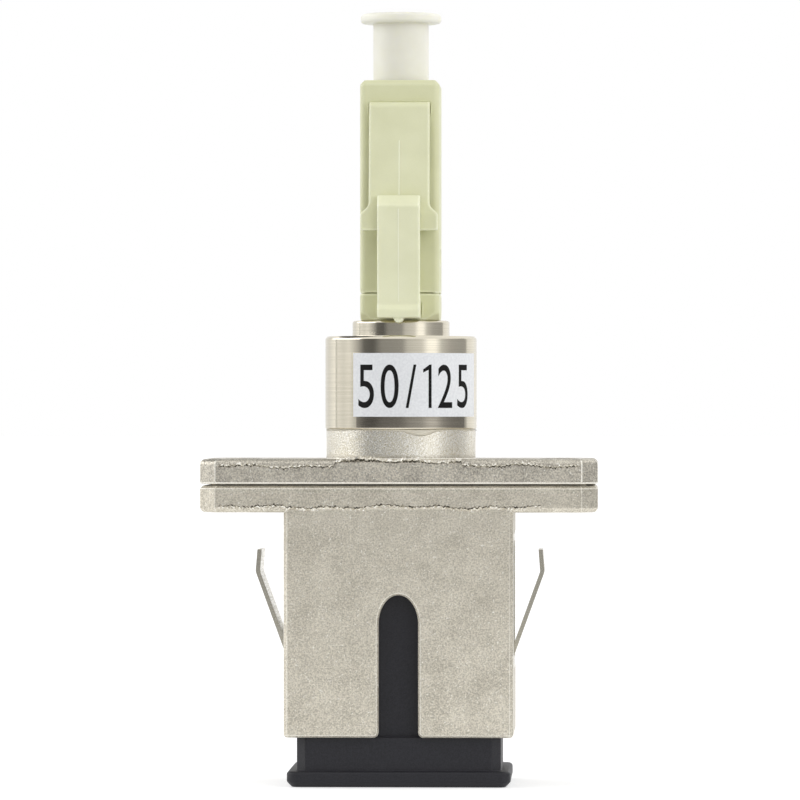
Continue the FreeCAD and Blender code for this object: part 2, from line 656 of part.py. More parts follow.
def plug_rear_housing():
    rear = rounded_block(PLUG_WIDTH, PLUG_WIDTH, PLUG_EDGE, ring_top_z, housing_seam_z)
    cone_foot = REAR_CONE_DIAMETER / 2
    cone_top = cone_foot + REAR_BLOCK_HEIGHT
    cone = Part.makeCone(cone_foot, cone_top, REAR_BLOCK_HEIGHT, Vector(0, 0, ring_top_z))
    rear = rear.common(cone)
    tail = cylinder(TAIL_DIAMETER / 2 - PRESS_CLEARANCE, ring_top_z - TAIL_LENGTH, ring_top_z)
    nose = cylinder(spring_bore_radius - PRESS_CLEARANCE, housing_seam_z, rear_nose_top_z)
    bore = cylinder(holder_tube_radius + HOLDER_CLEARANCE, ring_top_z - TAIL_LENGTH, rear_nose_top_z)
    cup_room = cylinder(
        lower_cup_radius + HOLDER_CLEARANCE, ring_top_z - TAIL_LENGTH, lower_cup_top_z + LOWER_CUP_ROOM
    )
    rear = rear.fuse([tail, nose, snap_tabs(PLUG_WIDTH - 2 * TAB_INSET, 0)])
    return rear.cut([bore, cup_room, trigger_knuckle(KNUCKLE_CLEARANCE)]).removeSplitter()


def release_trigger():
    """Finger trigger: a rounded root with a lip, a sloping back, a bevelled tip and a nub above the latch."""
    foot_out = trigger_inner_out + TRIGGER_FOOT_THICKNESS
    tip_out = trigger_inner_out + TRIGGER_TIP_THICKNESS
    tip_z = trigger_pivot_z + TRIGGER_LENGTH
    foot_z = trigger_pivot_z + TRIGGER_FOOT_RISE
    root_z = trigger_pivot_z - TRIGGER_KNUCKLE
    bevel = TRIGGER_TIP_BEVEL
    nub_out = latch_out_at(tip_z) + TRIGGER_NUB_GAP
    lip_out = foot_out + TRIGGER_LIP
    arm = side_profile([
        (trigger_pivot_out, root_z, 0), (lip_out, root_z, MOULDED_EDGE),
        (lip_out, foot_z - TRIGGER_LIP_BEVEL, MOULDED_EDGE), (foot_out, foot_z, MOULDED_EDGE),
        (tip_out, tip_z - bevel, MOULDED_EDGE), (tip_out - bevel, tip_z, MOULDED_EDGE),
        (nub_out, tip_z, MOULDED_EDGE), (trigger_inner_out, tip_z - 2 * bevel, 0),
        (trigger_inner_out, trigger_pivot_z + 2 * TRIGGER_KNUCKLE, MOULDED_EDGE),
        (trigger_pivot_out, trigger_pivot_z + TRIGGER_KNUCKLE, 0),
    ], TRIGGER_WIDTH)
    gate_in = RING_DIAMETER / 2 + GATE_CLEARANCE
    gate_length = lip_out - MOULDED_EDGE - gate_in
    gate = Part.makeCylinder(GATE_DIAMETER / 2, gate_length, Vector(0, -gate_in, root_z), Vector(0, -1, 0))
    return arm.fuse([trigger_knuckle(0), gate]).removeSplitter()


def latch_out_at(z):
    """Outer face of the latch arm between its root and its lugs."""
    share = (latch_pivot_z - z) / (latch_pivot_z - lug_top_z)
    return latch_root_out + LATCH_RISE * share


def latch_knuckle(clearance):
    return cross_pin(LATCH_KNUCKLE + clearance, LATCH_WIDTH + 2 * clearance, latch_pivot_out, latch_pivot_z)


def plug_latch():
    """Latch arm: the side profile gives its slope and thickness, the front profile its lugs and tail."""
    tail_z = latch_lug_z - LATCH_TAIL_LENGTH
    root_in = latch_root_out - LATCH_ROOT_THICKNESS
    side = side_profile([
        (latch_root_out, latch_pivot_z, 0), (latch_out, lug_top_z, LATCH_RISE),
        (latch_out, tail_z, MOULDED_EDGE), (latch_out - LATCH_THICKNESS, tail_z, MOULDED_EDGE),
        (latch_out - LATCH_THICKNESS, lug_top_z, LATCH_RISE),
        (root_in, latch_pivot_z - LATCH_KNUCKLE, 0), (root_in, latch_pivot_z, 0),
    ], LUG_WIDTH)
    arm = LATCH_WIDTH / 2
    lug = LUG_WIDTH / 2
    tail = LATCH_TAIL_WIDTH / 2
    shoulder_z = lug_top_z + LUG_SHOULDER
    top_z = latch_pivot_z + LATCH_KNUCKLE
    right = [
        (arm, top_z, 0), (arm, shoulder_z, LUG_SHOULDER), (lug, lug_top_z, MOULDED_EDGE),
        (lug, latch_lug_z, MOULDED_EDGE), (tail, latch_lug_z, MOULDED_EDGE), (tail, tail_z, MOULDED_EDGE),
    ]
    left = [(-x, z, rounding) for x, z, rounding in reversed(right)]
    front = front_profile(right + left, 0, latch_out + CUT_MARGIN)
    return side.common(front).fuse(latch_knuckle(0)).removeSplitter()


def plug_front_housing():
    housing = rounded_block(PLUG_WIDTH, PLUG_WIDTH, PLUG_EDGE, housing_seam_z, nose_z)
    housing = housing.makeChamfer(NOSE_EDGE, level_edges(housing, nose_z))
    nose_bore = cylinder(CAP_DIAMETER / 2 + CAP_ROOM, stop_top_z, nose_z + CUT_MARGIN)
    stop_hole = cylinder(upper_cup_radius + HOLDER_CLEARANCE, stop_low_z, stop_top_z)
    spring_bore = cylinder(spring_bore_radius, housing_seam_z - CUT_MARGIN, stop_low_z)
    windows = snap_tabs(PLUG_WIDTH + CUT_MARGIN, TAB_CLEARANCE)
    latch_groove = latch_knuckle(KNUCKLE_CLEARANCE)
    cuts = [nose_bore, stop_hole, spring_bore, windows, latch_groove, housing_seam()]
    return housing.cut(cuts).removeSplitter()


def housing_seam():
    """Narrow gap that shows between the two plug housings across the flat of each side."""
    flat = PLUG_WIDTH - 2 * PLUG_EDGE
    core = PLUG_WIDTH - 2 * HOUSING_SEAM_DEPTH
    top_z = housing_seam_z + HOUSING_SEAM
    across = block(PLUG_WIDTH, flat, housing_seam_z, top_z)
    along = block(flat, PLUG_WIDTH, housing_seam_z, top_z)
    return across.fuse(along).cut(block(core, core, housing_seam_z, top_z))


def ferrule_cap():
    """Cap on the 1.25 mm ferrule: a thick tube with a blind bore and a small flange to pull."""
    bore = plug_ferrule_radius + CAP_BORE_CLEARANCE
    tube = CAP_DIAMETER / 2
    flange = CAP_FLANGE_DIAMETER / 2
    flange_low_z = cap_top_z - CAP_FLANGE_HEIGHT
    bore_top_z = plug_tip_z + CAP_TIP_ROOM
    return turned([
        (bore, cap_low_z, 0), (tube, cap_low_z, 0), (tube, flange_low_z, CAP_ROOT_BEVEL),
        (flange, flange_low_z, CAP_FLANGE_EDGE), (flange, cap_top_z, CAP_FLANGE_EDGE), (0, cap_top_z, 0),
        (0, bore_top_z, 0), (bore, bore_top_z, 0),
    ])


PIECES = {
    "dust_plug": dust_plug,
    "socket_housing": socket_housing,
    "neck_housing": neck_housing,
    "flange_bushes": flange_bushes,
    "panel_clip": panel_clip,
    "clip_wing_right": clip_wing_right,
    "clip_wing_left": lambda: mirrored(clip_wing_right()),
    "hook_insert": hook_insert,
    "socket_hook_right": socket_hook_right,
    "socket_hook_left": lambda: mirrored(socket_hook_right()),
    "split_sleeve": split_sleeve,
    "socket_ferrule": socket_ferrule,
    "socket_ferrule_holder": socket_ferrule_holder,
    "plug_ferrule": plug_ferrule,
    "plug_ferrule_holder": plug_ferrule_holder,
    "fibre": fibre,
    "ferrule_spring": ferrule_spring,
    "collar": collar,
    "label": label,
    "plug_rear_housing": plug_rear_housing,
    "release_trigger": release_trigger,
    "plug_front_housing": plug_front_housing,
    "plug_latch": plug_latch,
    "ferrule_cap": ferrule_cap,
}

os.makedirs("parts", exist_ok=True)
for name, make in PIECES.items():
    make().exportStep(f"parts/{name}.step")
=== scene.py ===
import bmesh
import bpy
import math
import random
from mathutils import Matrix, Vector


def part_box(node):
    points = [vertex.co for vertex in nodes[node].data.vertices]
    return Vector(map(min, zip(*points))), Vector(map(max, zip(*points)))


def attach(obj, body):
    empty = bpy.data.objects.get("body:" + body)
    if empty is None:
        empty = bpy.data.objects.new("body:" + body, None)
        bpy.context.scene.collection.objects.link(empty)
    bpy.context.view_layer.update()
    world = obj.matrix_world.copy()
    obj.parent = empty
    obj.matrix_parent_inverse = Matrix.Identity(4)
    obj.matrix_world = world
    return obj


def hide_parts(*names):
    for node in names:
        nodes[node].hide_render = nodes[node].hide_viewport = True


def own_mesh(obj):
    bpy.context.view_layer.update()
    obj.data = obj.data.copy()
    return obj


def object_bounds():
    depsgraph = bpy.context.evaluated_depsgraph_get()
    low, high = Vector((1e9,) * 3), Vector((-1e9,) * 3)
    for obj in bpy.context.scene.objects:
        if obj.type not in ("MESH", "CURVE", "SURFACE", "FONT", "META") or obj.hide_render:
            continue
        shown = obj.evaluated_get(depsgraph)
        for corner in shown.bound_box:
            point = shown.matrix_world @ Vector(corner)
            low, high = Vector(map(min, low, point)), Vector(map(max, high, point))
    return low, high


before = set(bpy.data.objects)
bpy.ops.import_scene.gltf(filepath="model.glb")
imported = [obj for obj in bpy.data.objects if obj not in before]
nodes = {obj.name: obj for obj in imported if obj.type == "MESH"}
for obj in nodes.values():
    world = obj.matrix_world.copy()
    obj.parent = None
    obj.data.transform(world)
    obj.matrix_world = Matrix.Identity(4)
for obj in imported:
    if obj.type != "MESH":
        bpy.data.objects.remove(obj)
cad_low, cad_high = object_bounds()
bpy.context.scene.view_settings.view_transform = "Standard"
MM = 0.001

# Socket housing and neck housing: two zinc die castings, nickel plated over the skin as it left the die.
# The plate is bright but the skin under it is grainy: a warm grey, with its glints painted as pale specks.
# Tumbling rubs the edges smooth and a little bright; their near-white colour is also a painted highlight.
CASTING_EDGE = 0.09 * MM
CASTING_GRAIN = 0.085 * MM
CASTING_CLOUD = 1.6 * MM
CASTING_CLOUD_SHARE = 0.35
# Painted glints: the size of the pale specks, and where in the noise they turn pale.
CASTING_PAINTED_GLINT_SIZE = 0.11 * MM
CASTING_TONE = (0.46, 0.88)
CASTING_PAINTED_GLINT = (0.63, 0.82)
CASTING_RELIEF = 0.02 * MM
CASTING_BUMP = 0.8
CASTING_ROUGHNESS = 0.5
CASTING_POLISH = 0.1
CASTING_LIGHT = "#ece6d7"
CASTING_DARK = "#b0aa9c"
NECK_DARK = "#98938a"
NECK_FADE = 0.25 * MM
NECK_POLISH = 0.18
# Neck above the flange: painted paler, standing for light bounced up off the flange's top.
PAINTED_LIGHT_PALE = "#fffdf6"
NECK_PAINTED_LIGHT_DARK = "#d3cab4"
SPARKLE_SCATTER = 0.22
SPARKLE_RELIEF = 0.024 * MM
# Edges: near-white nickel, a painted highlight over the rubbed edge.
RIM_TONE = (0.35, 0.6)
RIM_ROUGHNESS = (0.4, 0.2)
RIM_LIGHT = "#fffdf4"
RIM_DARK = "#e8e2d4"
EDGE_ANGLE = math.radians(30)
EDGE_SEGMENTS = 3
FLAT_ANGLE = math.radians(1)
WELD_GAP = 0.0005 * MM
FULL = (0.0, 1.0)


def linear(colour):
    """sRGB hex colour as linear RGBA."""
    channels = [int(colour[i:i + 2], 16) / 255 for i in (1, 3, 5)]
    return [c / 12.92 if c <= 0.04045 else ((c + 0.055) / 1.055) ** 2.4 for c in channels] + [1.0]


def add_node(tree, kind, inputs, **settings):
    """Adds a node; an input is a value or the socket that feeds it."""
    node = tree.nodes.new(kind)
    for name, value in settings.items():
        setattr(node, name, value)
    for socket, value in inputs.items():
        if isinstance(value, bpy.types.NodeSocket):
            tree.links.new(value, node.inputs[socket])
        else:
            node.inputs[socket].default_value = value
    return node


def blank_material(name):
    """A new material with an empty tree, and its places in the object's own metres."""
    material = bpy.data.materials.new(name)
    material.use_nodes = True
    tree = material.node_tree
    tree.nodes.clear()
    place = add_node(tree, "ShaderNodeTexCoord", {}).outputs["Object"]
    return material, tree, place


def finish_material(tree, **inputs):
    """Principled surface from these inputs, with _ in a name for a space."""
    sockets = {name.replace("_", " "): value for name, value in inputs.items()}
    surface = add_node(tree, "ShaderNodeBsdfPrincipled", sockets)
    add_node(tree, "ShaderNodeOutputMaterial", {"Surface": surface.outputs[0]})


def noise(tree, place, size, detail):
    """Noise from 0 to 1 with features of this size."""
    settings = {"Vector": place, "Scale": 1 / size, "Detail": detail}
    return add_node(tree, "ShaderNodeTexNoise", settings).outputs[0]


def spread(tree, value, start, end=FULL):
    """Maps the range from start[0] to start[1] onto the range end, and holds the value inside it."""
    settings = {"Value": value, "From Min": start[0], "From Max": start[1]}
    settings.update({"To Min": end[0], "To Max": end[1]})
    return add_node(tree, "ShaderNodeMapRange", settings).outputs[0]


def weigh(tree, value, share, base):
    """The value times its share, added to the base."""
    settings = {0: value, 1: share, 2: base}
    return add_node(tree, "ShaderNodeMath", settings, operation="MULTIPLY_ADD").outputs[0]


def blend(tree, share, dark, light):
    """Colour between dark and light, each a hex colour or the socket that feeds it."""
    ends = [linear(colour) if isinstance(colour, str) else colour for colour in (dark, light)]
    settings = {"Factor": share, "A": ends[0], "B": ends[1]}
    return add_node(tree, "ShaderNodeMix", settings, data_type="RGBA").outputs["Result"]


def embossed(tree, height, strength, depth):
    """Normals of a surface with this relief."""
    settings = {"Height": height, "Strength": strength, "Distance": depth}
    return add_node(tree, "ShaderNodeBump", settings).outputs[0]


def smooth_group():
    """Geometry nodes that shade every face smooth."""
    group = bpy.data.node_groups.new("shade_smooth", "GeometryNodeTree")
    group.interface.new_socket("Geometry", in_out="INPUT", socket_type="NodeSocketGeometry")
    group.interface.new_socket("Geometry", in_out="OUTPUT", socket_type="NodeSocketGeometry")
    start = add_node(group, "NodeGroupInput", {})
    smooth = add_node(group, "GeometryNodeSetShadeSmooth", {"Geometry": start.outputs[0]})
    add_node(group, "NodeGroupOutput", {0: smooth.outputs[0]})
    return group


SMOOTH = smooth_group()


def soften(piece, width):
    """Breaks the hard edges by up to this width, as tumbling does; a second material goes on the edges."""
    weld = piece.modifiers.new("weld", "WELD")
    weld.merge_threshold = WELD_GAP
    flats = piece.modifiers.new("flats", "DECIMATE")
    flats.decimate_type = "DISSOLVE"
    flats.angle_limit = FLAT_ANGLE
    edge = piece.modifiers.new("edge", "BEVEL")
    edge.width = width
    edge.segments = EDGE_SEGMENTS
    edge.limit_method = "ANGLE"
    edge.angle_limit = EDGE_ANGLE
    edge.material = len(piece.data.materials) - 1
    shade = piece.modifiers.new("shade", "NODES")
    shade.node_group = SMOOTH
    normals = piece.modifiers.new("normals", "WEIGHTED_NORMAL")
    normals.keep_sharp = False


def dress(names, finishes, edge=0):
    """Gives CAD nodes their finish, with a second one for the edges, and soft edges if edge isn't 0."""
    for name in names:
        nodes[name].data.materials.clear()
        for material in finishes:
            nodes[name].data.materials.append(material)
        if edge:
            soften(nodes[name], edge)


def nickel_plated_casting(name, light, dark):
    material, tree, place = blank_material(name)
    grain = noise(tree, place, CASTING_GRAIN, detail=3)
    cloud = noise(tree, place, CASTING_CLOUD, detail=4)
    # Painted glints: pale specks in the colour stand in for light glinting off the grain.
    speck = noise(tree, place, CASTING_PAINTED_GLINT_SIZE, detail=1)
    tone = spread(tree, weigh(tree, cloud, CASTING_CLOUD_SHARE, grain), CASTING_TONE)
    painted_glint = spread(tree, speck, CASTING_PAINTED_GLINT)
    height = add_node(tree, "ShaderNodeSeparateXYZ", {"Vector": place}).outputs["Z"]
    neck = spread(tree, height, (flange_top_z, flange_top_z + NECK_FADE))
    plain = blend(tree, tone, dark, light)
    # Painted light: above the flange the neck gets paler colours, for the bounce off the flange's top.
    neck_painted_light = blend(tree, tone, NECK_PAINTED_LIGHT_DARK, PAINTED_LIGHT_PALE)
    colour = blend(tree, painted_glint, blend(tree, neck, plain, neck_painted_light), PAINTED_LIGHT_PALE)
    shine = weigh(tree, neck, -NECK_POLISH, CASTING_ROUGHNESS)
    gloss = weigh(tree, tone, -CASTING_POLISH, shine)
    relief = spread(tree, neck, FULL, (CASTING_RELIEF, SPARKLE_RELIEF))
    metal = weigh(tree, neck, -SPARKLE_SCATTER, 1.0)
    normal = embossed(tree, grain, CASTING_BUMP, relief)
    finish_material(tree, Base_Color=colour, Metallic=metal, Roughness=gloss, Normal=normal)
    return material


# Painted highlight on the edges: pale, half-metallic nickel stands in for the light they reflect.
def nickel_edge_highlight():
    material, tree, place = blank_material("nickel_edge_painted_highlight")
    grain = noise(tree, place, CASTING_GRAIN, detail=3)
    colour = blend(tree, spread(tree, grain, RIM_TONE), RIM_DARK, RIM_LIGHT)
    gloss = spread(tree, grain, FULL, RIM_ROUGHNESS)
    finish_material(tree, Base_Color=colour, Metallic=0.45, Roughness=gloss)
    return material


flange_low_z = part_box("flange_bushes")[0].z
flange_top_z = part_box("flange_bushes")[1].z
socket_casting = nickel_plated_casting("nickel_plated_socket_casting", CASTING_LIGHT, CASTING_DARK)
neck_casting = nickel_plated_casting("nickel_plated_neck_casting", CASTING_LIGHT, NECK_DARK)
edge_highlight_finish = nickel_edge_highlight()
dress(("socket_housing",), [socket_casting, edge_highlight_finish], CASTING_EDGE)
dress(("neck_housing",), [neck_casting, edge_highlight_finish], CASTING_EDGE)

# Flash on the flange: torn metal that was squeezed out where the halves of each die met, then plated over.
# It is the same nickel plate: one side of the tear painted bright as a highlight, the other dark as its
# shadow.
FLASH_STEP = 0.08 * MM
FLASH_ROOT = 0.05 * MM
FLASH_REACH = 0.11 * MM
FLASH_REACH_SHARE = (0.3, 1.0)
FLASH_HEIGHT = 0.17 * MM
FLASH_BELOW_SHARE = (0.5, 1.0)
FLASH_ABOVE_SHARE = (0.2, 1.1)
FLASH_WANDER = 0.11 * MM
FLASH_WAVE = 1.3 * MM
FLASH_RIPPLE = 2.7
UPPER_FLASH_DROP = 0.38 * MM
NECK_FLASH_DROP = 0.1 * MM
NECK_FLASH_REACH = 3.6 * MM
LOWER_FLASH_RISE = 0.3 * MM
FLASH_END = 10.1 * MM
LOWER_FLASH_RIGHT_END = 8.0 * MM
FLASH_PIT = 0.13 * MM
FLASH_TONE = (0.48, 0.56)
FLASH_ROUGHNESS = (0.45, 0.1)
# Painted highlight on the bright side of the tear, painted shadow on the dark side.
FLASH_LIGHT = "#fffcf3"
FLASH_DARK = "#d2ccbe"
PAINTED_SHADOW_LIGHT = "#b4ae9f"
PAINTED_SHADOW_DARK = "#302c24"


def torn_flash(name, light, dark):
    material, tree, place = blank_material(name)
    pit = noise(tree, place, FLASH_PIT, detail=2)
    colour = blend(tree, spread(tree, pit, FLASH_TONE), dark, light)
    gloss = spread(tree, pit, FULL, FLASH_ROUGHNESS)
    finish_material(tree, Base_Color=colour, Metallic=0.7, Roughness=gloss)
    return material


flash_painted_highlight = torn_flash("nickel_plated_flash", FLASH_LIGHT, FLASH_DARK)
flash_painted_shadow = torn_flash("nickel_plated_flash_painted_shadow", PAINTED_SHADOW_LIGHT, PAINTED_SHADOW_DARK)


def new_piece(name, shape, material, body):
    """Turns a bmesh into a piece of the object that rides on a body."""
    bmesh.ops.recalc_face_normals(shape, faces=shape.faces)
    mesh = bpy.data.meshes.new(name)
    shape.to_mesh(mesh)
    shape.free()
    mesh.materials.append(material)
    piece = bpy.data.objects.new(name, mesh)
    bpy.context.scene.collection.objects.link(piece)
    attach(piece, body)
    return piece


def bridge(shape, rings, closed):
    """Faces between rings of points; closed joins the last to the first, otherwise the ends are capped."""
    pairs = list(zip(rings, rings[1:]))
    if closed:
        pairs.append((rings[-1], rings[0]))
    else:
        shape.faces.new(rings[0])
        shape.faces.new(rings[-1])
    for a, b in pairs:
        for i in range(len(a)):
            j = (i + 1) % len(a)
            shape.faces.new((a[i], a[j], b[j], b[i]))


def upper_level(x):
    """Height of the upper plate's flash: just under its top edge, and higher below the neck."""
    return flange_top_z - (NECK_FLASH_DROP if abs(x) < NECK_FLASH_REACH else UPPER_FLASH_DROP)


def lower_level(x):
    """Height of the lower plate's flash, the same all along."""
    return flange_low_z + LOWER_FLASH_RISE


def flash_ridge(name, start, end, level, face_y, seed, shaded_side):
    """Ragged ridge along X on a flange face, rooted in the plate, with painted shadow below (0) or above (1).
    """
    rough = random.Random(seed)
    outward = 1 if face_y > 0 else -1
    count = round((end - start) / FLASH_STEP)
    shape = bmesh.new()
    rings = []
    for i in range(count + 1):
        x = start + (end - start) * i / count
        sway = math.sin(x / FLASH_WAVE + seed) + math.sin(FLASH_RIPPLE * x / FLASH_WAVE + 2 * seed)
        z = level(x) + FLASH_WANDER * (0.5 * sway + rough.uniform(-0.5, 0.5))
        below = FLASH_HEIGHT * rough.uniform(*FLASH_BELOW_SHARE)
        above = FLASH_HEIGHT * rough.uniform(*FLASH_ABOVE_SHARE)
        root_y = face_y - outward * FLASH_ROOT
        tip_y = face_y + outward * FLASH_REACH * rough.uniform(*FLASH_REACH_SHARE)
        points = ((root_y, z - below), (tip_y, z), (root_y, z + above))
        rings.append([shape.verts.new((x, y, z)) for y, z in points])
    bridge(shape, rings, False)
    # Painted shadow: one facet of each step along the tear gets the dark material.
    for face in list(shape.faces)[2 + shaded_side::3]:
        face.material_index = 1
    ridge = new_piece(name, shape, flash_painted_highlight, "adapter")
    ridge.data.materials.append(flash_painted_shadow)


flange_front_y = cad_low.y
flange_back_y = cad_high.y
flash_ridge("flash_upper_front", -FLASH_END, FLASH_END, upper_level, flange_front_y, seed=3, shaded_side=0)
flash_ridge(
    "flash_lower_front", -FLASH_END, LOWER_FLASH_RIGHT_END, lower_level, flange_front_y, seed=8, shaded_side=1
)
flash_ridge("flash_upper_back", -FLASH_END, FLASH_END, upper_level, flange_back_y, seed=5, shaded_side=0)
flash_ridge("flash_lower_back", -FLASH_END, FLASH_END, lower_level, flange_back_y, seed=12, shaded_side=1)

# Panel clip and its two wings: spring steel strip, blanked and bent, snapped into the housing's groove.
# Rolling leaves fine streaks along the strip, and the metal is greyer and smoother than the castings.
CLIP_PIECES = ("panel_clip", "clip_wing_left", "clip_wing_right")
CLIP_EDGE = 0.04 * MM
STREAK_LENGTH = 2.0 * MM
STREAK_WIDTH = 0.05 * MM
STREAK_RELIEF = 0.003 * MM
STREAK_BUMP = 0.3
STEEL_ROUGHNESS = (0.26, 0.16)
STEEL_LIGHT = "#e6e2d6"
STEEL_DARK = "#c4bfae"
NOISE_MIDDLE = (0.3, 0.7)


def streaks(tree, place, sizes, detail):
    """Noise drawn out to these sizes along X, Y and Z."""
    scale = [1 / size for size in sizes]
    stretch = add_node(tree, "ShaderNodeMapping", {"Vector": place, "Scale": scale})
    return noise(tree, stretch.outputs[0], 1, detail)


def rolled_spring_steel():
    material, tree, place = blank_material("rolled_spring_steel")
    streak = streaks(tree, place, (STREAK_LENGTH, STREAK_LENGTH, STREAK_WIDTH), detail=3)
    colour = blend(tree, spread(tree, streak, NOISE_MIDDLE), STEEL_DARK, STEEL_LIGHT)
    gloss = spread(tree, streak, NOISE_MIDDLE, STEEL_ROUGHNESS)
    normal = embossed(tree, streak, STREAK_BUMP, STREAK_RELIEF)
    finish_material(tree, Base_Color=colour, Metallic=1.0, Roughness=gloss, Normal=normal)
    return material


spring_steel = rolled_spring_steel()
dress(CLIP_PIECES, [spring_steel], CLIP_EDGE)

# Hook insert and its two snap hooks: moulded in natural, ivory polyester and pressed into the socket.
# Moulded polyester is satin and slightly milky, with the fine texture of the mould and a painted highlight on
# its edges.
INSERT_PIECES = ("hook_insert", "socket_hook_left", "socket_hook_right")
INSERT_EDGE = 0.05 * MM
INSERT_LIGHT = "#e6e3d8"
INSERT_DARK = "#d6d3c6"
MOULD_TEXTURE = 0.07 * MM
MOULD_TEXTURE_SHARE = 0.3
MOULD_CLOUD = 1.8 * MM
MOULD_TONE = (0.4, 0.9)
MOULD_RELIEF = 0.004 * MM
MOULD_BUMP = 0.5
MOULD_ROUGHNESS = (0.5, 0.36)
EDGE_DEPTH = 0.2 * MM
EDGE_SAMPLES = 8
EDGE_TURN = (0.998, 0.94)


def moulded_polyester(name, light, dark, edge):
    """Satin moulding, painted paler along its edges as a highlight of the light they catch."""
    material, tree, place = blank_material(name)
    texture = noise(tree, place, MOULD_TEXTURE, detail=2)
    cloud = noise(tree, place, MOULD_CLOUD, detail=2)
    tone = spread(tree, weigh(tree, texture, MOULD_TEXTURE_SHARE, cloud), MOULD_TONE)
    # Painted highlight: where the surface turns at an edge, the colour goes over to the pale edge colour.
    here = add_node(tree, "ShaderNodeNewGeometry", {}).outputs["Normal"]
    near = add_node(tree, "ShaderNodeBevel", {"Radius": EDGE_DEPTH}, samples=EDGE_SAMPLES).outputs[0]
    turn = add_node(tree, "ShaderNodeVectorMath", {0: here, 1: near}, operation="DOT_PRODUCT")
    painted_edge_highlight = spread(tree, turn.outputs["Value"], EDGE_TURN)
    colour = blend(tree, painted_edge_highlight, blend(tree, tone, dark, light), edge)
    gloss = spread(tree, texture, NOISE_MIDDLE, MOULD_ROUGHNESS)
    normal = embossed(tree, texture, MOULD_BUMP, MOULD_RELIEF)
    finish_material(
        tree, Base_Color=colour, Roughness=gloss, IOR=1.54, Normal=normal,
        Subsurface_Weight=0.12, Subsurface_Scale=0.25 * MM, Subsurface_Radius=(1.0, 1.0, 0.6),
    )
    return material


insert_polyester = moulded_polyester("moulded_ivory_polyester", INSERT_LIGHT, INSERT_DARK, INSERT_LIGHT)
dress(INSERT_PIECES, [insert_polyester], INSERT_EDGE)

# Split sleeve and the two ferrules: zirconia, ground and polished, and pressed or sprung together.
# Polished ceramic is a warm white with a hard gloss and faint clouds below the surface.
CERAMIC_PIECES = ("split_sleeve", "socket_ferrule", "plug_ferrule")
CERAMIC_CLOUD = 0.8 * MM
CERAMIC_ROUGHNESS = (0.06, 0.16)
CERAMIC_LIGHT = "#f3f0e8"
CERAMIC_DARK = "#e6e2d6"


def polished_zirconia():
    material, tree, place = blank_material("polished_zirconia")
    cloud = noise(tree, place, CERAMIC_CLOUD, detail=3)
    colour = blend(tree, cloud, CERAMIC_DARK, CERAMIC_LIGHT)
    gloss = spread(tree, cloud, FULL, CERAMIC_ROUGHNESS)
    finish_material(
        tree, Base_Color=colour, Roughness=gloss, IOR=2.1, Subsurface_Weight=0.2, Subsurface_Scale=0.2 * MM
    )
    return material


dress(CERAMIC_PIECES, [polished_zirconia()])

# Glass fibre through both ferrules: drawn silica, glued in and polished flush with the ends.
# Clear and colourless, with faint drawing lines along it.
FIBRE_LINE_WIDTH = 0.02 * MM
FIBRE_LINE_LENGTH = 5.0 * MM
FIBRE_ROUGHNESS = (0.01, 0.06)
FIBRE_CLEAR = "#f4f8fa"


def drawn_silica():
    material, tree, place = blank_material("drawn_silica")
    line = streaks(tree, place, (FIBRE_LINE_WIDTH, FIBRE_LINE_WIDTH, FIBRE_LINE_LENGTH), detail=1)
    gloss = spread(tree, line, FULL, FIBRE_ROUGHNESS)
    finish_material(
        tree, Base_Color=linear(FIBRE_CLEAR), Roughness=gloss, IOR=1.458, Transmission_Weight=1.0
    )
    return material


dress(("fibre",), [drawn_silica()])

# Flange bushes and ferrule holders: turned brass, nickel plated, pressed in place.
# The lathe leaves fine rings round each one, and the plate is warm and bright.
TURNED_PIECES = ("flange_bushes", "socket_ferrule_holder", "plug_ferrule_holder")
TOOL_LINE = 0.035 * MM
TOOL_LINE_LENGTH = 6.0 * MM
TOOL_RELIEF = 0.002 * MM
TOOL_BUMP = 0.5
TURNED_ROUGHNESS = 0.13
TURNED_UNEVEN = (1.4, 0.7)
TURNED_LIGHT = "#ebe4d2"
TURNED_DARK = "#ddd6c4"


def turned_nickel_plate(name, light, dark, roughness):
    material, tree, place = blank_material(name)
    line = streaks(tree, place, (TOOL_LINE_LENGTH, TOOL_LINE_LENGTH, TOOL_LINE), detail=3)
    colour = blend(tree, spread(tree, line, NOISE_MIDDLE), dark, light)
    gloss = spread(tree, line, NOISE_MIDDLE, [roughness * share for share in TURNED_UNEVEN])
    normal = embossed(tree, line, TOOL_BUMP, TOOL_RELIEF)
    finish_material(tree, Base_Color=colour, Metallic=1.0, Roughness=gloss, Normal=normal)
    return material


turned_plate = turned_nickel_plate("turned_nickel_plate", TURNED_LIGHT, TURNED_DARK, TURNED_ROUGHNESS)
dress(TURNED_PIECES, [turned_plate])

# Ferrule spring: round spring wire, coiled with closed ends that sit flat, pushing the holder's flange up.
# Drawn wire is a smooth mid grey; the real coil shortens when the ferrules are pushed in, and this one is
# drawn at rest.
WIRE_DIAMETER = 0.3 * MM
WIRE_SIDES = 12
COIL_OPEN_TURNS = 3.0
COIL_STEPS = 40


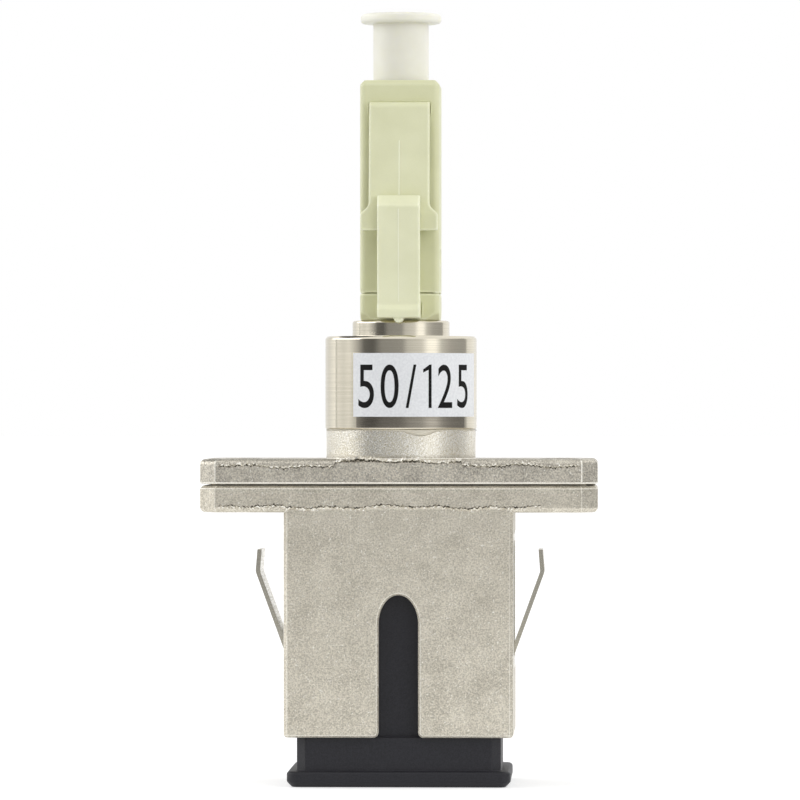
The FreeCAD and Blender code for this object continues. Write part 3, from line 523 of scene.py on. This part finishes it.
def wire_coil():
    """Open helix between two flat turns of wire."""
    low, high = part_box("ferrule_spring")
    mean_radius = high.x - WIRE_DIAMETER / 2
    flat_low = low.z + WIRE_DIAMETER / 2
    flat_high = high.z - WIRE_DIAMETER / 2
    turns = COIL_OPEN_TURNS + 2
    count = round(turns * COIL_STEPS)
    shape = bmesh.new()
    rings = []
    for i in range(count + 1):
        turn = turns * i / count
        rise = min(max(turn - 1, 0), COIL_OPEN_TURNS) / COIL_OPEN_TURNS
        z = flat_low + (flat_high - flat_low) * (3 * rise ** 2 - 2 * rise ** 3)
        way = Vector((math.cos(math.tau * turn), math.sin(math.tau * turn), 0))
        ring = []
        for k in range(WIRE_SIDES):
            side = math.tau * k / WIRE_SIDES
            point = way * (mean_radius + WIRE_DIAMETER / 2 * math.cos(side))
            ring.append(shape.verts.new((point.x, point.y, z + WIRE_DIAMETER / 2 * math.sin(side))))
        rings.append(ring)
    bridge(shape, rings, False)
    for face in shape.faces:
        face.smooth = len(face.verts) == 4
    coil = new_piece("ferrule_spring_coil", shape, spring_steel, "adapter")
    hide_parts("ferrule_spring")
    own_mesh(coil)


wire_coil()

# Collar: brass turned to a barrel with a small ring on top, nickel plated, pressed over the neck's spigot.
# Tool rings show on the ring and above the label; the front of the barrel's foot is darker and rougher.
SPIGOT_BORE = 3.21 * MM
SPIGOT_SHOULDER = 3.14 * MM
TAIL_BORE = 2.0 * MM
RING_RADIUS = 2.765 * MM
RING_HEIGHT = 0.9 * MM
BARREL_EDGE = 0.03 * MM
CHAMFER_HEIGHT = 0.13 * MM
CHAMFER_DEPTH = 0.12 * MM
CHAMFER_FOOT = 0.2 * MM
FOOT_EDGE = 0.1 * MM
TURNED_EDGE = 0.05 * MM
RING_EDGE = 0.16 * MM
GROOVE_PITCH = 0.1 * MM
GROOVE_DEPTH = 0.006 * MM
TOP_GROOVES = 6
RING_GROOVES = 4
DARK_FOOT_BAND = 0.75 * MM
DARK_FOOT_ROUGHNESS = 0.22
DARK_FOOT_LIGHT = "#aca699"
DARK_FOOT_DARK = "#8d877c"
DARK_FOOT_FROM = math.radians(-33)
DARK_FOOT_TO = math.radians(58)
ARC_STEPS = 6
LATHE_STEPS = 192


def rounded_outline(corners):
    """Points (radius, z) of an outline from corners (radius, z, rounding), each round corner as an arc."""
    points = []
    for i, (r, z, rounding) in enumerate(corners):
        corner = Vector((r, z))
        if rounding == 0:
            points.append(corner)
            continue
        back = (Vector(corners[i - 1][:2]) - corner).normalized()
        ahead = (Vector(corners[(i + 1) % len(corners)][:2]) - corner).normalized()
        half = back.angle(ahead) / 2
        centre = corner + (back + ahead).normalized() * rounding / math.sin(half)
        first = corner + back * rounding / math.tan(half) - centre
        last = corner + ahead * rounding / math.tan(half) - centre
        for step in range(ARC_STEPS + 1):
            points.append(centre + first.lerp(last, step / ARC_STEPS).normalized() * rounding)
    return points


def lathe(outline):
    """Solid turned about the fibre axis from a closed outline of points (radius, z), none on the axis."""
    shape = bmesh.new()
    turns = [math.tau * i / LATHE_STEPS for i in range(LATHE_STEPS)]
    rings = [[shape.verts.new((r * math.sin(t), -r * math.cos(t), z)) for t in turns] for r, z in outline]
    bridge(shape, rings, True)
    for face in shape.faces:
        face.smooth = True
    return shape


def grooves(radius, low_z, count):
    """Corners of a run of tool rings cut into a turned wall."""
    corners = []
    for i in range(count):
        z = low_z + i * GROOVE_PITCH
        corners.append((radius, z, 0))
        corners.append((radius - GROOVE_DEPTH, z + GROOVE_PITCH / 2, 0))
    return corners + [(radius, low_z + count * GROOVE_PITCH, 0)]


collar_low, collar_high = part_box("collar")
label_low, label_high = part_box("label")
barrel_radius = collar_high.x
ring_low_z = collar_high.z - RING_HEIGHT
chamfer_z = ring_low_z - CHAMFER_HEIGHT
dark_foot_top_z = collar_low.z + DARK_FOOT_BAND
collar_outline = rounded_outline(
    [(SPIGOT_BORE, collar_low.z, 0), (barrel_radius, collar_low.z, FOOT_EDGE), (barrel_radius, dark_foot_top_z, 0)]
    + grooves(barrel_radius, chamfer_z - (TOP_GROOVES + 2) * GROOVE_PITCH, TOP_GROOVES)
    + [(barrel_radius, chamfer_z, CHAMFER_FOOT), (barrel_radius - CHAMFER_DEPTH, ring_low_z, BARREL_EDGE),
       (RING_RADIUS, ring_low_z, TURNED_EDGE)]
    + grooves(RING_RADIUS, ring_low_z + 2 * GROOVE_PITCH, RING_GROOVES)
    + [(RING_RADIUS, collar_high.z, RING_EDGE), (TAIL_BORE, collar_high.z, TURNED_EDGE),
       (TAIL_BORE, collar_low.z + SPIGOT_SHOULDER, 0), (SPIGOT_BORE, collar_low.z + SPIGOT_SHOULDER, 0)]
)
collar_shape = lathe(collar_outline)
# The front of the barrel's foot, between these angles, gets the darker, rougher plate.
for face in collar_shape.faces:
    middle = face.calc_center_median()
    at_foot = collar_low.z + FOOT_EDGE < middle.z < dark_foot_top_z
    outside = middle.xy.length > SPIGOT_BORE + TURNED_EDGE
    if at_foot and outside and DARK_FOOT_FROM < math.atan2(middle.x, -middle.y) < DARK_FOOT_TO:
        face.material_index = 1
turned_collar = new_piece("turned_collar", collar_shape, turned_plate, "adapter")
dark_foot_plate = turned_nickel_plate("turned_nickel_dark_foot", DARK_FOOT_LIGHT, DARK_FOOT_DARK, DARK_FOOT_ROUGHNESS)
turned_collar.data.materials.append(dark_foot_plate)
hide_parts("collar")

# Adhesive bead: the clear glue that squeezed out under the barrel when the collar was set on the neck.
# It is glossy and a little yellow, uneven all round, with a thicker drip at the front.
BEAD_STEPS = 240
BEAD_HEIGHT = 0.07 * MM
BEAD_REACH = 0.045 * MM
BEAD_ROOT = 0.04 * MM
BEAD_WAVES = ((0.35, 5, 1), (0.2, 13, 0), (0.12, 29, 2))
DRIP_HEIGHT = 0.32 * MM
DRIP_REACH = 0.09 * MM
DRIP_ANGLE = math.radians(18)
DRIP_SPREAD = math.radians(10)
BEAD_SIDES = 8
NECK_RADIUS = 4.25 * MM
GLUE_CLOUD = 0.5 * MM
GLUE_ROUGHNESS = (0.03, 0.1)
GLUE_LIGHT = "#efebdf"
GLUE_DARK = "#ddd6c3"


def cured_adhesive():
    material, tree, place = blank_material("cured_clear_adhesive")
    cloud = noise(tree, place, GLUE_CLOUD, detail=2)
    colour = blend(tree, cloud, GLUE_DARK, GLUE_LIGHT)
    gloss = spread(tree, cloud, FULL, GLUE_ROUGHNESS)
    finish_material(tree, Base_Color=colour, Roughness=gloss, IOR=1.52, Transmission_Weight=0.4)
    return material


def adhesive_bead():
    """Uneven ring of glue; a wave is its height, its count round the ring and where it starts."""
    shape = bmesh.new()
    rings = []
    for i in range(BEAD_STEPS):
        turn = math.tau * i / BEAD_STEPS
        uneven = 1 + sum(size * math.sin(count * turn + start) for size, count, start in BEAD_WAVES)
        off = (turn - DRIP_ANGLE + math.pi) % math.tau - math.pi
        drip = math.exp(-(off / DRIP_SPREAD) ** 2)
        height = BEAD_HEIGHT * uneven + DRIP_HEIGHT * drip
        reach = BEAD_REACH * uneven + DRIP_REACH * drip
        ring = []
        for k in range(BEAD_SIDES + 1):
            side = math.pi * k / BEAD_SIDES
            r = NECK_RADIUS + reach * math.sin(side)
            z = collar_low.z - height * (1 - math.cos(side)) / 2
            ring.append(shape.verts.new((r * math.sin(turn), -r * math.cos(turn), z)))
        root = NECK_RADIUS - BEAD_ROOT
        root_z = collar_low.z - height / 2
        ring.append(shape.verts.new((root * math.sin(turn), -root * math.cos(turn), root_z)))
        rings.append(ring)
    bridge(shape, rings, True)
    for face in shape.faces:
        face.smooth = True
    new_piece("adhesive_bead", shape, cured_adhesive(), "adapter")


adhesive_bead()

# Label: white coated paper with the fibre's size printed in black, wrapped round the barrel by its own glue.
# The coating is smooth and slightly blue; the ink lies on it as a thin, denser film.
PAPER_FIBRE = 0.12 * MM
PAPER_RELIEF = 0.003 * MM
PAPER_BUMP = 0.3
PAPER_ROUGHNESS = 0.4
PAPER_SPECULAR = 0.5
PAPER_LIGHT = "#eceef0"
PAPER_DARK = "#dfe1e4"
INK_ROUGHNESS = 0.6
INK_SPECULAR = 0.2
INK_LIGHT = "#121111"
INK_DARK = "#080808"
PRINT_UNEVEN = 0.08
LABEL_WORDS = "50/125"
NUMERAL_WIDTHS = {"5": 0.98 * MM, "0": 1.02 * MM, "/": 0.6 * MM, "1": 0.5 * MM, "2": 0.98 * MM}
NUMERAL_HEIGHT = 2.44 * MM
NUMERAL_STROKE = 0.18 * MM
NUMERAL_GAP = 0.4 * MM
NUMERAL_DROP = 0.08 * MM
NUMERAL_TURN = math.radians(15)
FLAG_DROP = 1.5 * NUMERAL_STROKE
FLAG_JOINT_DROP = 1.6 * NUMERAL_STROKE
FLAG_SLANT = NUMERAL_STROKE / 3
INK_FILM = 0.006 * MM
INK_GAP = 0.001 * MM
INK_SLICE = 0.1 * MM


def coated_print(name, light, dark, roughness, specular):
    material, tree, place = blank_material(name)
    fibre = noise(tree, place, PAPER_FIBRE, detail=3)
    colour = blend(tree, spread(tree, fibre, NOISE_MIDDLE), dark, light)
    gloss = spread(tree, fibre, FULL, (roughness + PRINT_UNEVEN, roughness - PRINT_UNEVEN))
    normal = embossed(tree, fibre, PAPER_BUMP, PAPER_RELIEF)
    finish_material(tree, Base_Color=colour, Roughness=gloss, Specular_IOR_Level=specular, Normal=normal)
    return material


def font_numeral(shape, character, left):
    """A numeral of the built-in font, fitted to its own width."""
    words = bpy.data.curves.new("numeral", "FONT")
    words.body = character
    writing = bpy.data.objects.new("numeral", words)
    bpy.context.scene.collection.objects.link(writing)
    flat = bpy.data.meshes.new_from_object(writing)
    bpy.data.objects.remove(writing)
    low = Vector([min(v.co[i] for v in flat.vertices) for i in range(2)])
    high = Vector([max(v.co[i] for v in flat.vertices) for i in range(2)])
    for v in flat.vertices:
        across = (v.co.x - low.x) / (high.x - low.x)
        up = (v.co.y - low.y) / (high.y - low.y)
        v.co = (left + across * NUMERAL_WIDTHS[character], (up - 0.5) * NUMERAL_HEIGHT, 0)
    shape.from_mesh(flat)
    bpy.data.meshes.remove(flat)


def flagged_one(shape, left):
    """The numeral 1, a stem with a flag."""
    right = left + NUMERAL_WIDTHS["1"]
    stem = right - NUMERAL_STROKE
    top = NUMERAL_HEIGHT / 2
    flag_top = top - FLAG_DROP
    corners = (
        (left, flag_top), (left, flag_top - NUMERAL_STROKE), (stem, top - FLAG_JOINT_DROP), (stem, -top),
        (right, -top), (right, top), (stem + FLAG_SLANT, top),
    )
    shape.faces.new([shape.verts.new((x, y, 0)) for x, y in corners])


def printed_numerals():
    """The numerals in a row, cut in narrow slices so that they follow the label's curve."""
    shape = bmesh.new()
    cursor = 0
    for character in LABEL_WORDS:
        if character == "1":
            flagged_one(shape, cursor)
        else:
            font_numeral(shape, character, cursor)
        cursor += NUMERAL_WIDTHS[character] + NUMERAL_GAP
    length = cursor - NUMERAL_GAP
    bmesh.ops.remove_doubles(shape, verts=shape.verts, dist=WELD_GAP)
    for i in range(1, round(length / INK_SLICE)):
        bmesh.ops.bisect_plane(
            shape, geom=shape.verts[:] + shape.edges[:] + shape.faces[:], dist=WELD_GAP,
            plane_co=(i * INK_SLICE, 0, 0), plane_no=(1, 0, 0),
        )
    raised = bmesh.ops.extrude_face_region(shape, geom=shape.faces[:])
    for v in raised["geom"]:
        if isinstance(v, bmesh.types.BMVert):
            v.co.z += INK_FILM
    label_radius = -label_low.y
    middle_z = (label_low.z + label_high.z) / 2 - NUMERAL_DROP
    for v in shape.verts:
        turn = NUMERAL_TURN + (v.co.x - length / 2) / label_radius
        r = label_radius + INK_GAP + v.co.z
        v.co = (r * math.sin(turn), -r * math.cos(turn), middle_z + v.co.y)
    ink = coated_print("black_label_ink", INK_LIGHT, INK_DARK, INK_ROUGHNESS, INK_SPECULAR)
    new_piece("label_numerals", shape, ink, "adapter")


label_paper = coated_print("coated_label_paper", PAPER_LIGHT, PAPER_DARK, PAPER_ROUGHNESS, PAPER_SPECULAR)
dress(("label",), [label_paper])
printed_numerals()

# Plug: front and rear housings snapped together, with the latch and trigger, all moulded in beige polyester.
# Satin, painted paler along the rounded edges as a highlight, and paler on the parting lines.
HOUSING_PIECES = ("plug_rear_housing", "plug_front_housing")
FINGER_PIECES = ("release_trigger", "plug_latch")
HOUSING_STEP = 0.05 * MM
HOUSING_PASSES = 10
FINGER_STEP = 0.04 * MM
FINGER_PASSES = 14
RELAX_SHARE = 0.5
SKIN_SHARE = 0.35
# Painted light and shade: the trigger, in front, is painted lightest, the latch less, the housings set back
# darkest.
HOUSING_LIGHT = "#dcddb7"
HOUSING_DARK = "#d3d4ac"
LATCH_LIGHT = "#e3e4c1"
LATCH_DARK = "#dadbb6"
TRIGGER_LIGHT = "#ebecca"
TRIGGER_DARK = "#e3e4c1"
# Painted highlight along the rounded edges of the mouldings.
EDGE_PAINTED_HIGHLIGHT = "#fbfce4"
PARTING_LIGHT = "#f4f5d9"
PARTING_DARK = "#ecedcd"
PARTING_WIDTH = 0.12 * MM
PARTING_HEIGHT = 0.02 * MM
PARTING_ROOT = 0.02 * MM
TRIGGER_PARTING = (Vector((4.15, 27.3)) * MM, Vector((4.528, 32.5)) * MM)
LATCH_PARTING = (Vector((3.393, 33.3)) * MM, Vector((3.018, 36.4)) * MM)


def round_off(piece, step, passes):
    """Rounds every edge of a moulding: a fine even skin over the solid, relaxed, then thinned out."""
    weld = piece.modifiers.new("weld", "WELD")
    weld.merge_threshold = WELD_GAP
    skin = piece.modifiers.new("skin", "REMESH")
    skin.mode = "VOXEL"
    skin.voxel_size = step
    skin.use_smooth_shade = True
    relax = piece.modifiers.new("relax", "SMOOTH")
    relax.factor = RELAX_SHARE
    relax.iterations = passes
    fewer = piece.modifiers.new("fewer", "DECIMATE")
    fewer.ratio = SKIN_SHARE


def parting_line(name, ends, body):
    """Low ridge up the front of a moulding, where its mould parted; an end is (reach forward, z)."""
    shape = bmesh.new()
    rings = []
    for out, z in ends:
        root_y = PARTING_ROOT - out
        points = ((-PARTING_WIDTH / 2, root_y), (0, -out - PARTING_HEIGHT), (PARTING_WIDTH / 2, root_y))
        rings.append([shape.verts.new((x, y, z)) for x, y in points])
    bridge(shape, rings, False)
    new_piece(name, shape, parting_polyester, body)


# Lit and shaded copies of one beige polyester, with the painted edge highlight.
housing_polyester = moulded_polyester("moulded_beige_housing", HOUSING_LIGHT, HOUSING_DARK, EDGE_PAINTED_HIGHLIGHT)
latch_polyester = moulded_polyester("moulded_beige_latch", LATCH_LIGHT, LATCH_DARK, EDGE_PAINTED_HIGHLIGHT)
trigger_polyester = moulded_polyester("moulded_beige_trigger", TRIGGER_LIGHT, TRIGGER_DARK, EDGE_PAINTED_HIGHLIGHT)
parting_polyester = moulded_polyester(
    "moulded_beige_parting_line", PARTING_LIGHT, PARTING_DARK, PARTING_LIGHT
)
dress(HOUSING_PIECES, [housing_polyester])
dress(("plug_latch",), [latch_polyester])
dress(("release_trigger",), [trigger_polyester])
for name in HOUSING_PIECES:
    round_off(nodes[name], HOUSING_STEP, HOUSING_PASSES)
for name in FINGER_PIECES:
    round_off(nodes[name], FINGER_STEP, FINGER_PASSES)
parting_line("trigger_parting_line", TRIGGER_PARTING, "trigger")
parting_line("latch_parting_line", LATCH_PARTING, "latch")

# Ferrule cap: moulded in natural polyethylene, pushed over the plug's ferrule.
# It is milky and lets light through, with a soft sheen and no sharp edge.
CAP_BORE = 0.645 * MM
CAP_TUBE_RADIUS = 1.58 * MM
CAP_FLANGE_HEIGHT = 0.55 * MM
CAP_ROOF = 1.71 * MM
CAP_EDGE = 0.2 * MM
CAP_SMALL_EDGE = 0.08 * MM
CAP_CENTRE = 0.01 * MM
CAP_CLOUD = 0.9 * MM
CAP_RELIEF = 0.02 * MM
CAP_BUMP = 0.2
CAP_ROUGHNESS = (0.3, 0.42)
CAP_LIGHT = "#eeede3"
CAP_DARK = "#e5e3d6"


def milky_polyethylene():
    material, tree, place = blank_material("milky_polyethylene")
    cloud = noise(tree, place, CAP_CLOUD, detail=3)
    colour = blend(tree, cloud, CAP_DARK, CAP_LIGHT)
    gloss = spread(tree, cloud, FULL, CAP_ROUGHNESS)
    normal = embossed(tree, cloud, CAP_BUMP, CAP_RELIEF)
    finish_material(
        tree, Base_Color=colour, Roughness=gloss, IOR=1.51, Normal=normal,
        Subsurface_Weight=0.7, Subsurface_Scale=0.6 * MM, Subsurface_Radius=(1.0, 1.0, 0.8),
    )
    return material


cap_low, cap_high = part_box("ferrule_cap")
cap_flange_radius = cap_high.x
cap_flange_low_z = cap_high.z - CAP_FLANGE_HEIGHT
cap_roof_z = cap_high.z - CAP_ROOF
cap_shape = lathe(rounded_outline([
    (CAP_BORE, cap_low.z, CAP_SMALL_EDGE), (CAP_TUBE_RADIUS, cap_low.z, CAP_SMALL_EDGE),
    (CAP_TUBE_RADIUS, cap_flange_low_z, CAP_SMALL_EDGE), (cap_flange_radius, cap_flange_low_z, CAP_EDGE),
    (cap_flange_radius, cap_high.z, CAP_EDGE), (CAP_CENTRE, cap_high.z, 0),
    (CAP_CENTRE, cap_roof_z, 0), (CAP_BORE, cap_roof_z, CAP_SMALL_EDGE),
]))
bmesh.ops.remove_doubles(cap_shape, verts=cap_shape.verts, dist=WELD_GAP)
moulded_cap = new_piece("moulded_ferrule_cap", cap_shape, milky_polyethylene(), "cap")
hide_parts("ferrule_cap")

# Dust plug: moulded in black polyethylene, pushed into the socket's mouth.
# Satin black, with the mould's fine texture and a soft shine along its edges.
DUST_PLUG_EDGE = 0.07 * MM
BLACK_BUMP = 0.6
BLACK_ROUGHNESS = (0.56, 0.4)
BLACK_LIGHT = "#2d2d32"
BLACK_DARK = "#232327"


def moulded_black_polyethylene():
    material, tree, place = blank_material("moulded_black_polyethylene")
    texture = noise(tree, place, MOULD_TEXTURE, detail=2)
    colour = blend(tree, spread(tree, texture, NOISE_MIDDLE), BLACK_DARK, BLACK_LIGHT)
    gloss = spread(tree, texture, FULL, BLACK_ROUGHNESS)
    normal = embossed(tree, texture, BLACK_BUMP, MOULD_RELIEF)
    finish_material(
        tree, Base_Color=colour, Roughness=gloss, IOR=1.51, Specular_IOR_Level=0.28, Normal=normal
    )
    return material


dress(("dust_plug",), [moulded_black_polyethylene()], DUST_PLUG_EDGE)

# Camera: level with the barrel, almost straight in front, a little to the right of the keyway.
# It stands far off with a long lens, so the sides of the part look almost parallel.
CAMERA_DISTANCE = 320 * MM
CAMERA_HEIGHT = 21.76 * MM
CAMERA_TURN = math.radians(2)
CAMERA_ASIDE = -0.06 * MM
LENS = 253.0
SENSOR = 36.0

camera_data = bpy.data.cameras.new("camera")
camera_data.lens = LENS
camera_data.sensor_width = SENSOR
camera = bpy.data.objects.new("camera", camera_data)
camera.location = (
    CAMERA_DISTANCE * math.sin(CAMERA_TURN) + CAMERA_ASIDE,
    -CAMERA_DISTANCE * math.cos(CAMERA_TURN),
    CAMERA_HEIGHT,
)
camera.rotation_euler = (math.radians(90), 0, CAMERA_TURN)
bpy.context.scene.collection.objects.link(camera)
bpy.context.scene.camera = camera

# World: white where the camera, a mirror or glass looks at it. On matt surfaces it is the soft light of a
# white tent that is lit through both sides, and a little stronger from behind, above and the left.
SKY_LEVEL = 0.25
SKY_TILT = (-0.26, 0.2, 0.4)
SKY_SIDES = 1.9
WHITE = (1, 1, 1, 1)


def looked_at(tree):
    """1 for rays from the camera, a reflection or glass, otherwise 0."""
    rays = add_node(tree, "ShaderNodeLightPath", {}).outputs
    seen = rays["Is Camera Ray"]
    for kind in ("Is Glossy Ray", "Is Transmission Ray"):
        seen = add_node(tree, "ShaderNodeMath", {0: seen, 1: rays[kind]}, operation="MAXIMUM").outputs[0]
    return seen


world = bpy.data.worlds.new("studio")
world.use_nodes = True
sky = world.node_tree
sky.nodes.clear()
way = add_node(sky, "ShaderNodeTexCoord", {}).outputs["Generated"]
lean = add_node(sky, "ShaderNodeVectorMath", {0: way, 1: SKY_TILT}, operation="DOT_PRODUCT").outputs["Value"]
across = add_node(sky, "ShaderNodeSeparateXYZ", {"Vector": way}).outputs["X"]
square = add_node(sky, "ShaderNodeMath", {0: across, 1: 2.0}, operation="POWER").outputs[0]
tent = add_node(sky, "ShaderNodeMath", {0: lean, 1: SKY_LEVEL}, operation="ADD").outputs[0]
tent = weigh(sky, square, SKY_SIDES, tent)
soft = add_node(sky, "ShaderNodeBackground", {"Color": WHITE, "Strength": tent})
white = add_node(sky, "ShaderNodeBackground", {"Color": WHITE, "Strength": 1.0})
mix = add_node(sky, "ShaderNodeMixShader", {0: looked_at(sky), 1: soft.outputs[0], 2: white.outputs[0]})
add_node(sky, "ShaderNodeOutputWorld", {"Surface": mix.outputs[0]})
bpy.context.scene.world = world

# Studio backdrop: a curved sheet that only mirrors see, shaded from white to black as metal is lit for a
# picture, with a dark ceiling behind the object on the left and a bright card high on the left.
# Each stop is an angle in degrees, turned from the front to the right, and the sheet's shade there.
BACKDROP_NEAR = 0.08
BACKDROP_RADIUS = 0.7
BACKDROP_HEIGHT = 0.32
BACKDROP_FOOT = 0.001
BACKDROP_STEP = 1
BACKDROP_STOPS = (
    (-170, 0.9), (-140, 0.8), (-126, 0.95), (-117, 1.1), (-115, 0.3), (-112, 0.9), (-96, 0.76),
    (-84, 0.88), (-66, 0.42), (-56, 0.13), (-40, 0.11), (-28, 0.3), (4, 0.34), (12, 0.62), (34, 0.74),
    (44, 1.25), (56, 1.25), (66, 0.62), (84, 0.42), (104, 0.38), (119, 0.38), (122, 0.9), (145, 1.0),
    (170, 0.9),
)
CEILING_HEIGHT = 0.5
CEILING_INNER = 0.005
CEILING_OUTER = 0.7
CEILING_STOPS = ((-180, 0.1), (-100, 0.1))
CARD_RADIUS = 0.65
CARD_LOW = 0.12
CARD_HIGH = 0.45
CARD_STOPS = ((-130, 2.35), (-64, 2.35))


def shade_at(angle, stops):
    """Shade at an angle, in a straight line between the stops on either side."""
    for (low, first), (high, last) in zip(stops, stops[1:]):
        if low <= angle <= high:
            return first + (last - first) * (angle - low) / (high - low)


def studio_sheet(name, profile, stops):
    """A sheet swept round the object from a profile of points (radius, z), shaded by its stops."""
    points = []
    shades = []
    for angle in range(stops[0][0], stops[-1][0] + 1, BACKDROP_STEP):
        turn = math.radians(angle)
        for r, z in profile:
            points.append((r * math.sin(turn), -r * math.cos(turn), z))
            shades.append(shade_at(angle, stops))
    size = len(profile)
    faces = []
    for i in range(0, len(points) - size, size):
        for k in range(i, i + size - 1):
            faces.append((k, k + size, k + size + 1, k + 1))
    mesh = bpy.data.meshes.new(name)
    mesh.from_pydata(points, [], faces)
    mesh.attributes.new("shade", "FLOAT", "POINT").data.foreach_set("value", shades)
    material, tree, _ = blank_material(name)
    shade = add_node(tree, "ShaderNodeAttribute", {}, attribute_name="shade")
    glow = add_node(tree, "ShaderNodeEmission", {"Color": WHITE, "Strength": shade.outputs["Fac"]})
    add_node(tree, "ShaderNodeOutputMaterial", {"Surface": glow.outputs[0]})
    mesh.materials.append(material)
    sheet = bpy.data.objects.new(name, mesh)
    bpy.context.scene.collection.objects.link(sheet)
    sheet.visible_camera = False
    sheet.visible_diffuse = False
    sheet.visible_shadow = False


wall_foot = (BACKDROP_RADIUS, BACKDROP_FOOT)
wall_top = (BACKDROP_RADIUS, BACKDROP_HEIGHT)
studio_sheet("studio_backdrop", ((BACKDROP_NEAR, BACKDROP_FOOT), wall_foot, wall_top), BACKDROP_STOPS)
ceiling = ((CEILING_INNER, CEILING_HEIGHT), (CEILING_OUTER, CEILING_HEIGHT))
studio_sheet("studio_ceiling", ceiling, CEILING_STOPS)
studio_sheet("studio_left_card", ((CARD_RADIUS, CARD_LOW), (CARD_RADIUS, CARD_HIGH)), CARD_STOPS)

# Floor: matt white paper that keeps the object's shadow and otherwise meets the white background.
# Its glow is for the camera, mirrors and glass alone, so it puts no more light on the object.
FLOOR_REACH = 3.0
FLOOR_DROP = 0.02 * MM
FLOOR_CORNERS = ((-1, -1), (1, -1), (1, 1), (-1, 1))
FLOOR_GLOW = 0.55
FLOOR_WHITE = (0.6, 0.6, 0.6, 1)

floor_mesh = bpy.data.meshes.new("floor")
floor_points = [(x * FLOOR_REACH, y * FLOOR_REACH, -FLOOR_DROP) for x, y in FLOOR_CORNERS]
floor_mesh.from_pydata(floor_points, [], [(0, 1, 2, 3)])
floor = bpy.data.objects.new("floor", floor_mesh)
bpy.context.scene.collection.objects.link(floor)
material, tree, _ = blank_material("matt_white_paper")
matt = add_node(tree, "ShaderNodeBsdfDiffuse", {"Color": FLOOR_WHITE})
share = add_node(tree, "ShaderNodeMath", {0: looked_at(tree), 1: FLOOR_GLOW}, operation="MULTIPLY")
glow = add_node(tree, "ShaderNodeEmission", {"Color": WHITE, "Strength": share.outputs[0]})
paper = add_node(tree, "ShaderNodeAddShader", {0: matt.outputs[0], 1: glow.outputs[0]})
add_node(tree, "ShaderNodeOutputMaterial", {"Surface": paper.outputs[0]})
floor_mesh.materials.append(material)

# Lamp: one large soft box, to the right of the camera and a little above it.
# The backdrop stands in for it in mirrors.
KEY_PLACE = Vector((0.33, -0.48, 0.16))
KEY_AIM = Vector((0, 0, 0.02))
KEY_SIZE = 0.45
KEY_POWER = 1.15

key_data = bpy.data.lights.new("key", "AREA")
key_data.size = KEY_SIZE
key_data.energy = KEY_POWER
key = bpy.data.objects.new("key", key_data)
key.location = KEY_PLACE
key.rotation_euler = (KEY_AIM - KEY_PLACE).to_track_quat("-Z", "Y").to_euler()
key.visible_glossy = False
bpy.context.scene.collection.objects.link(key)
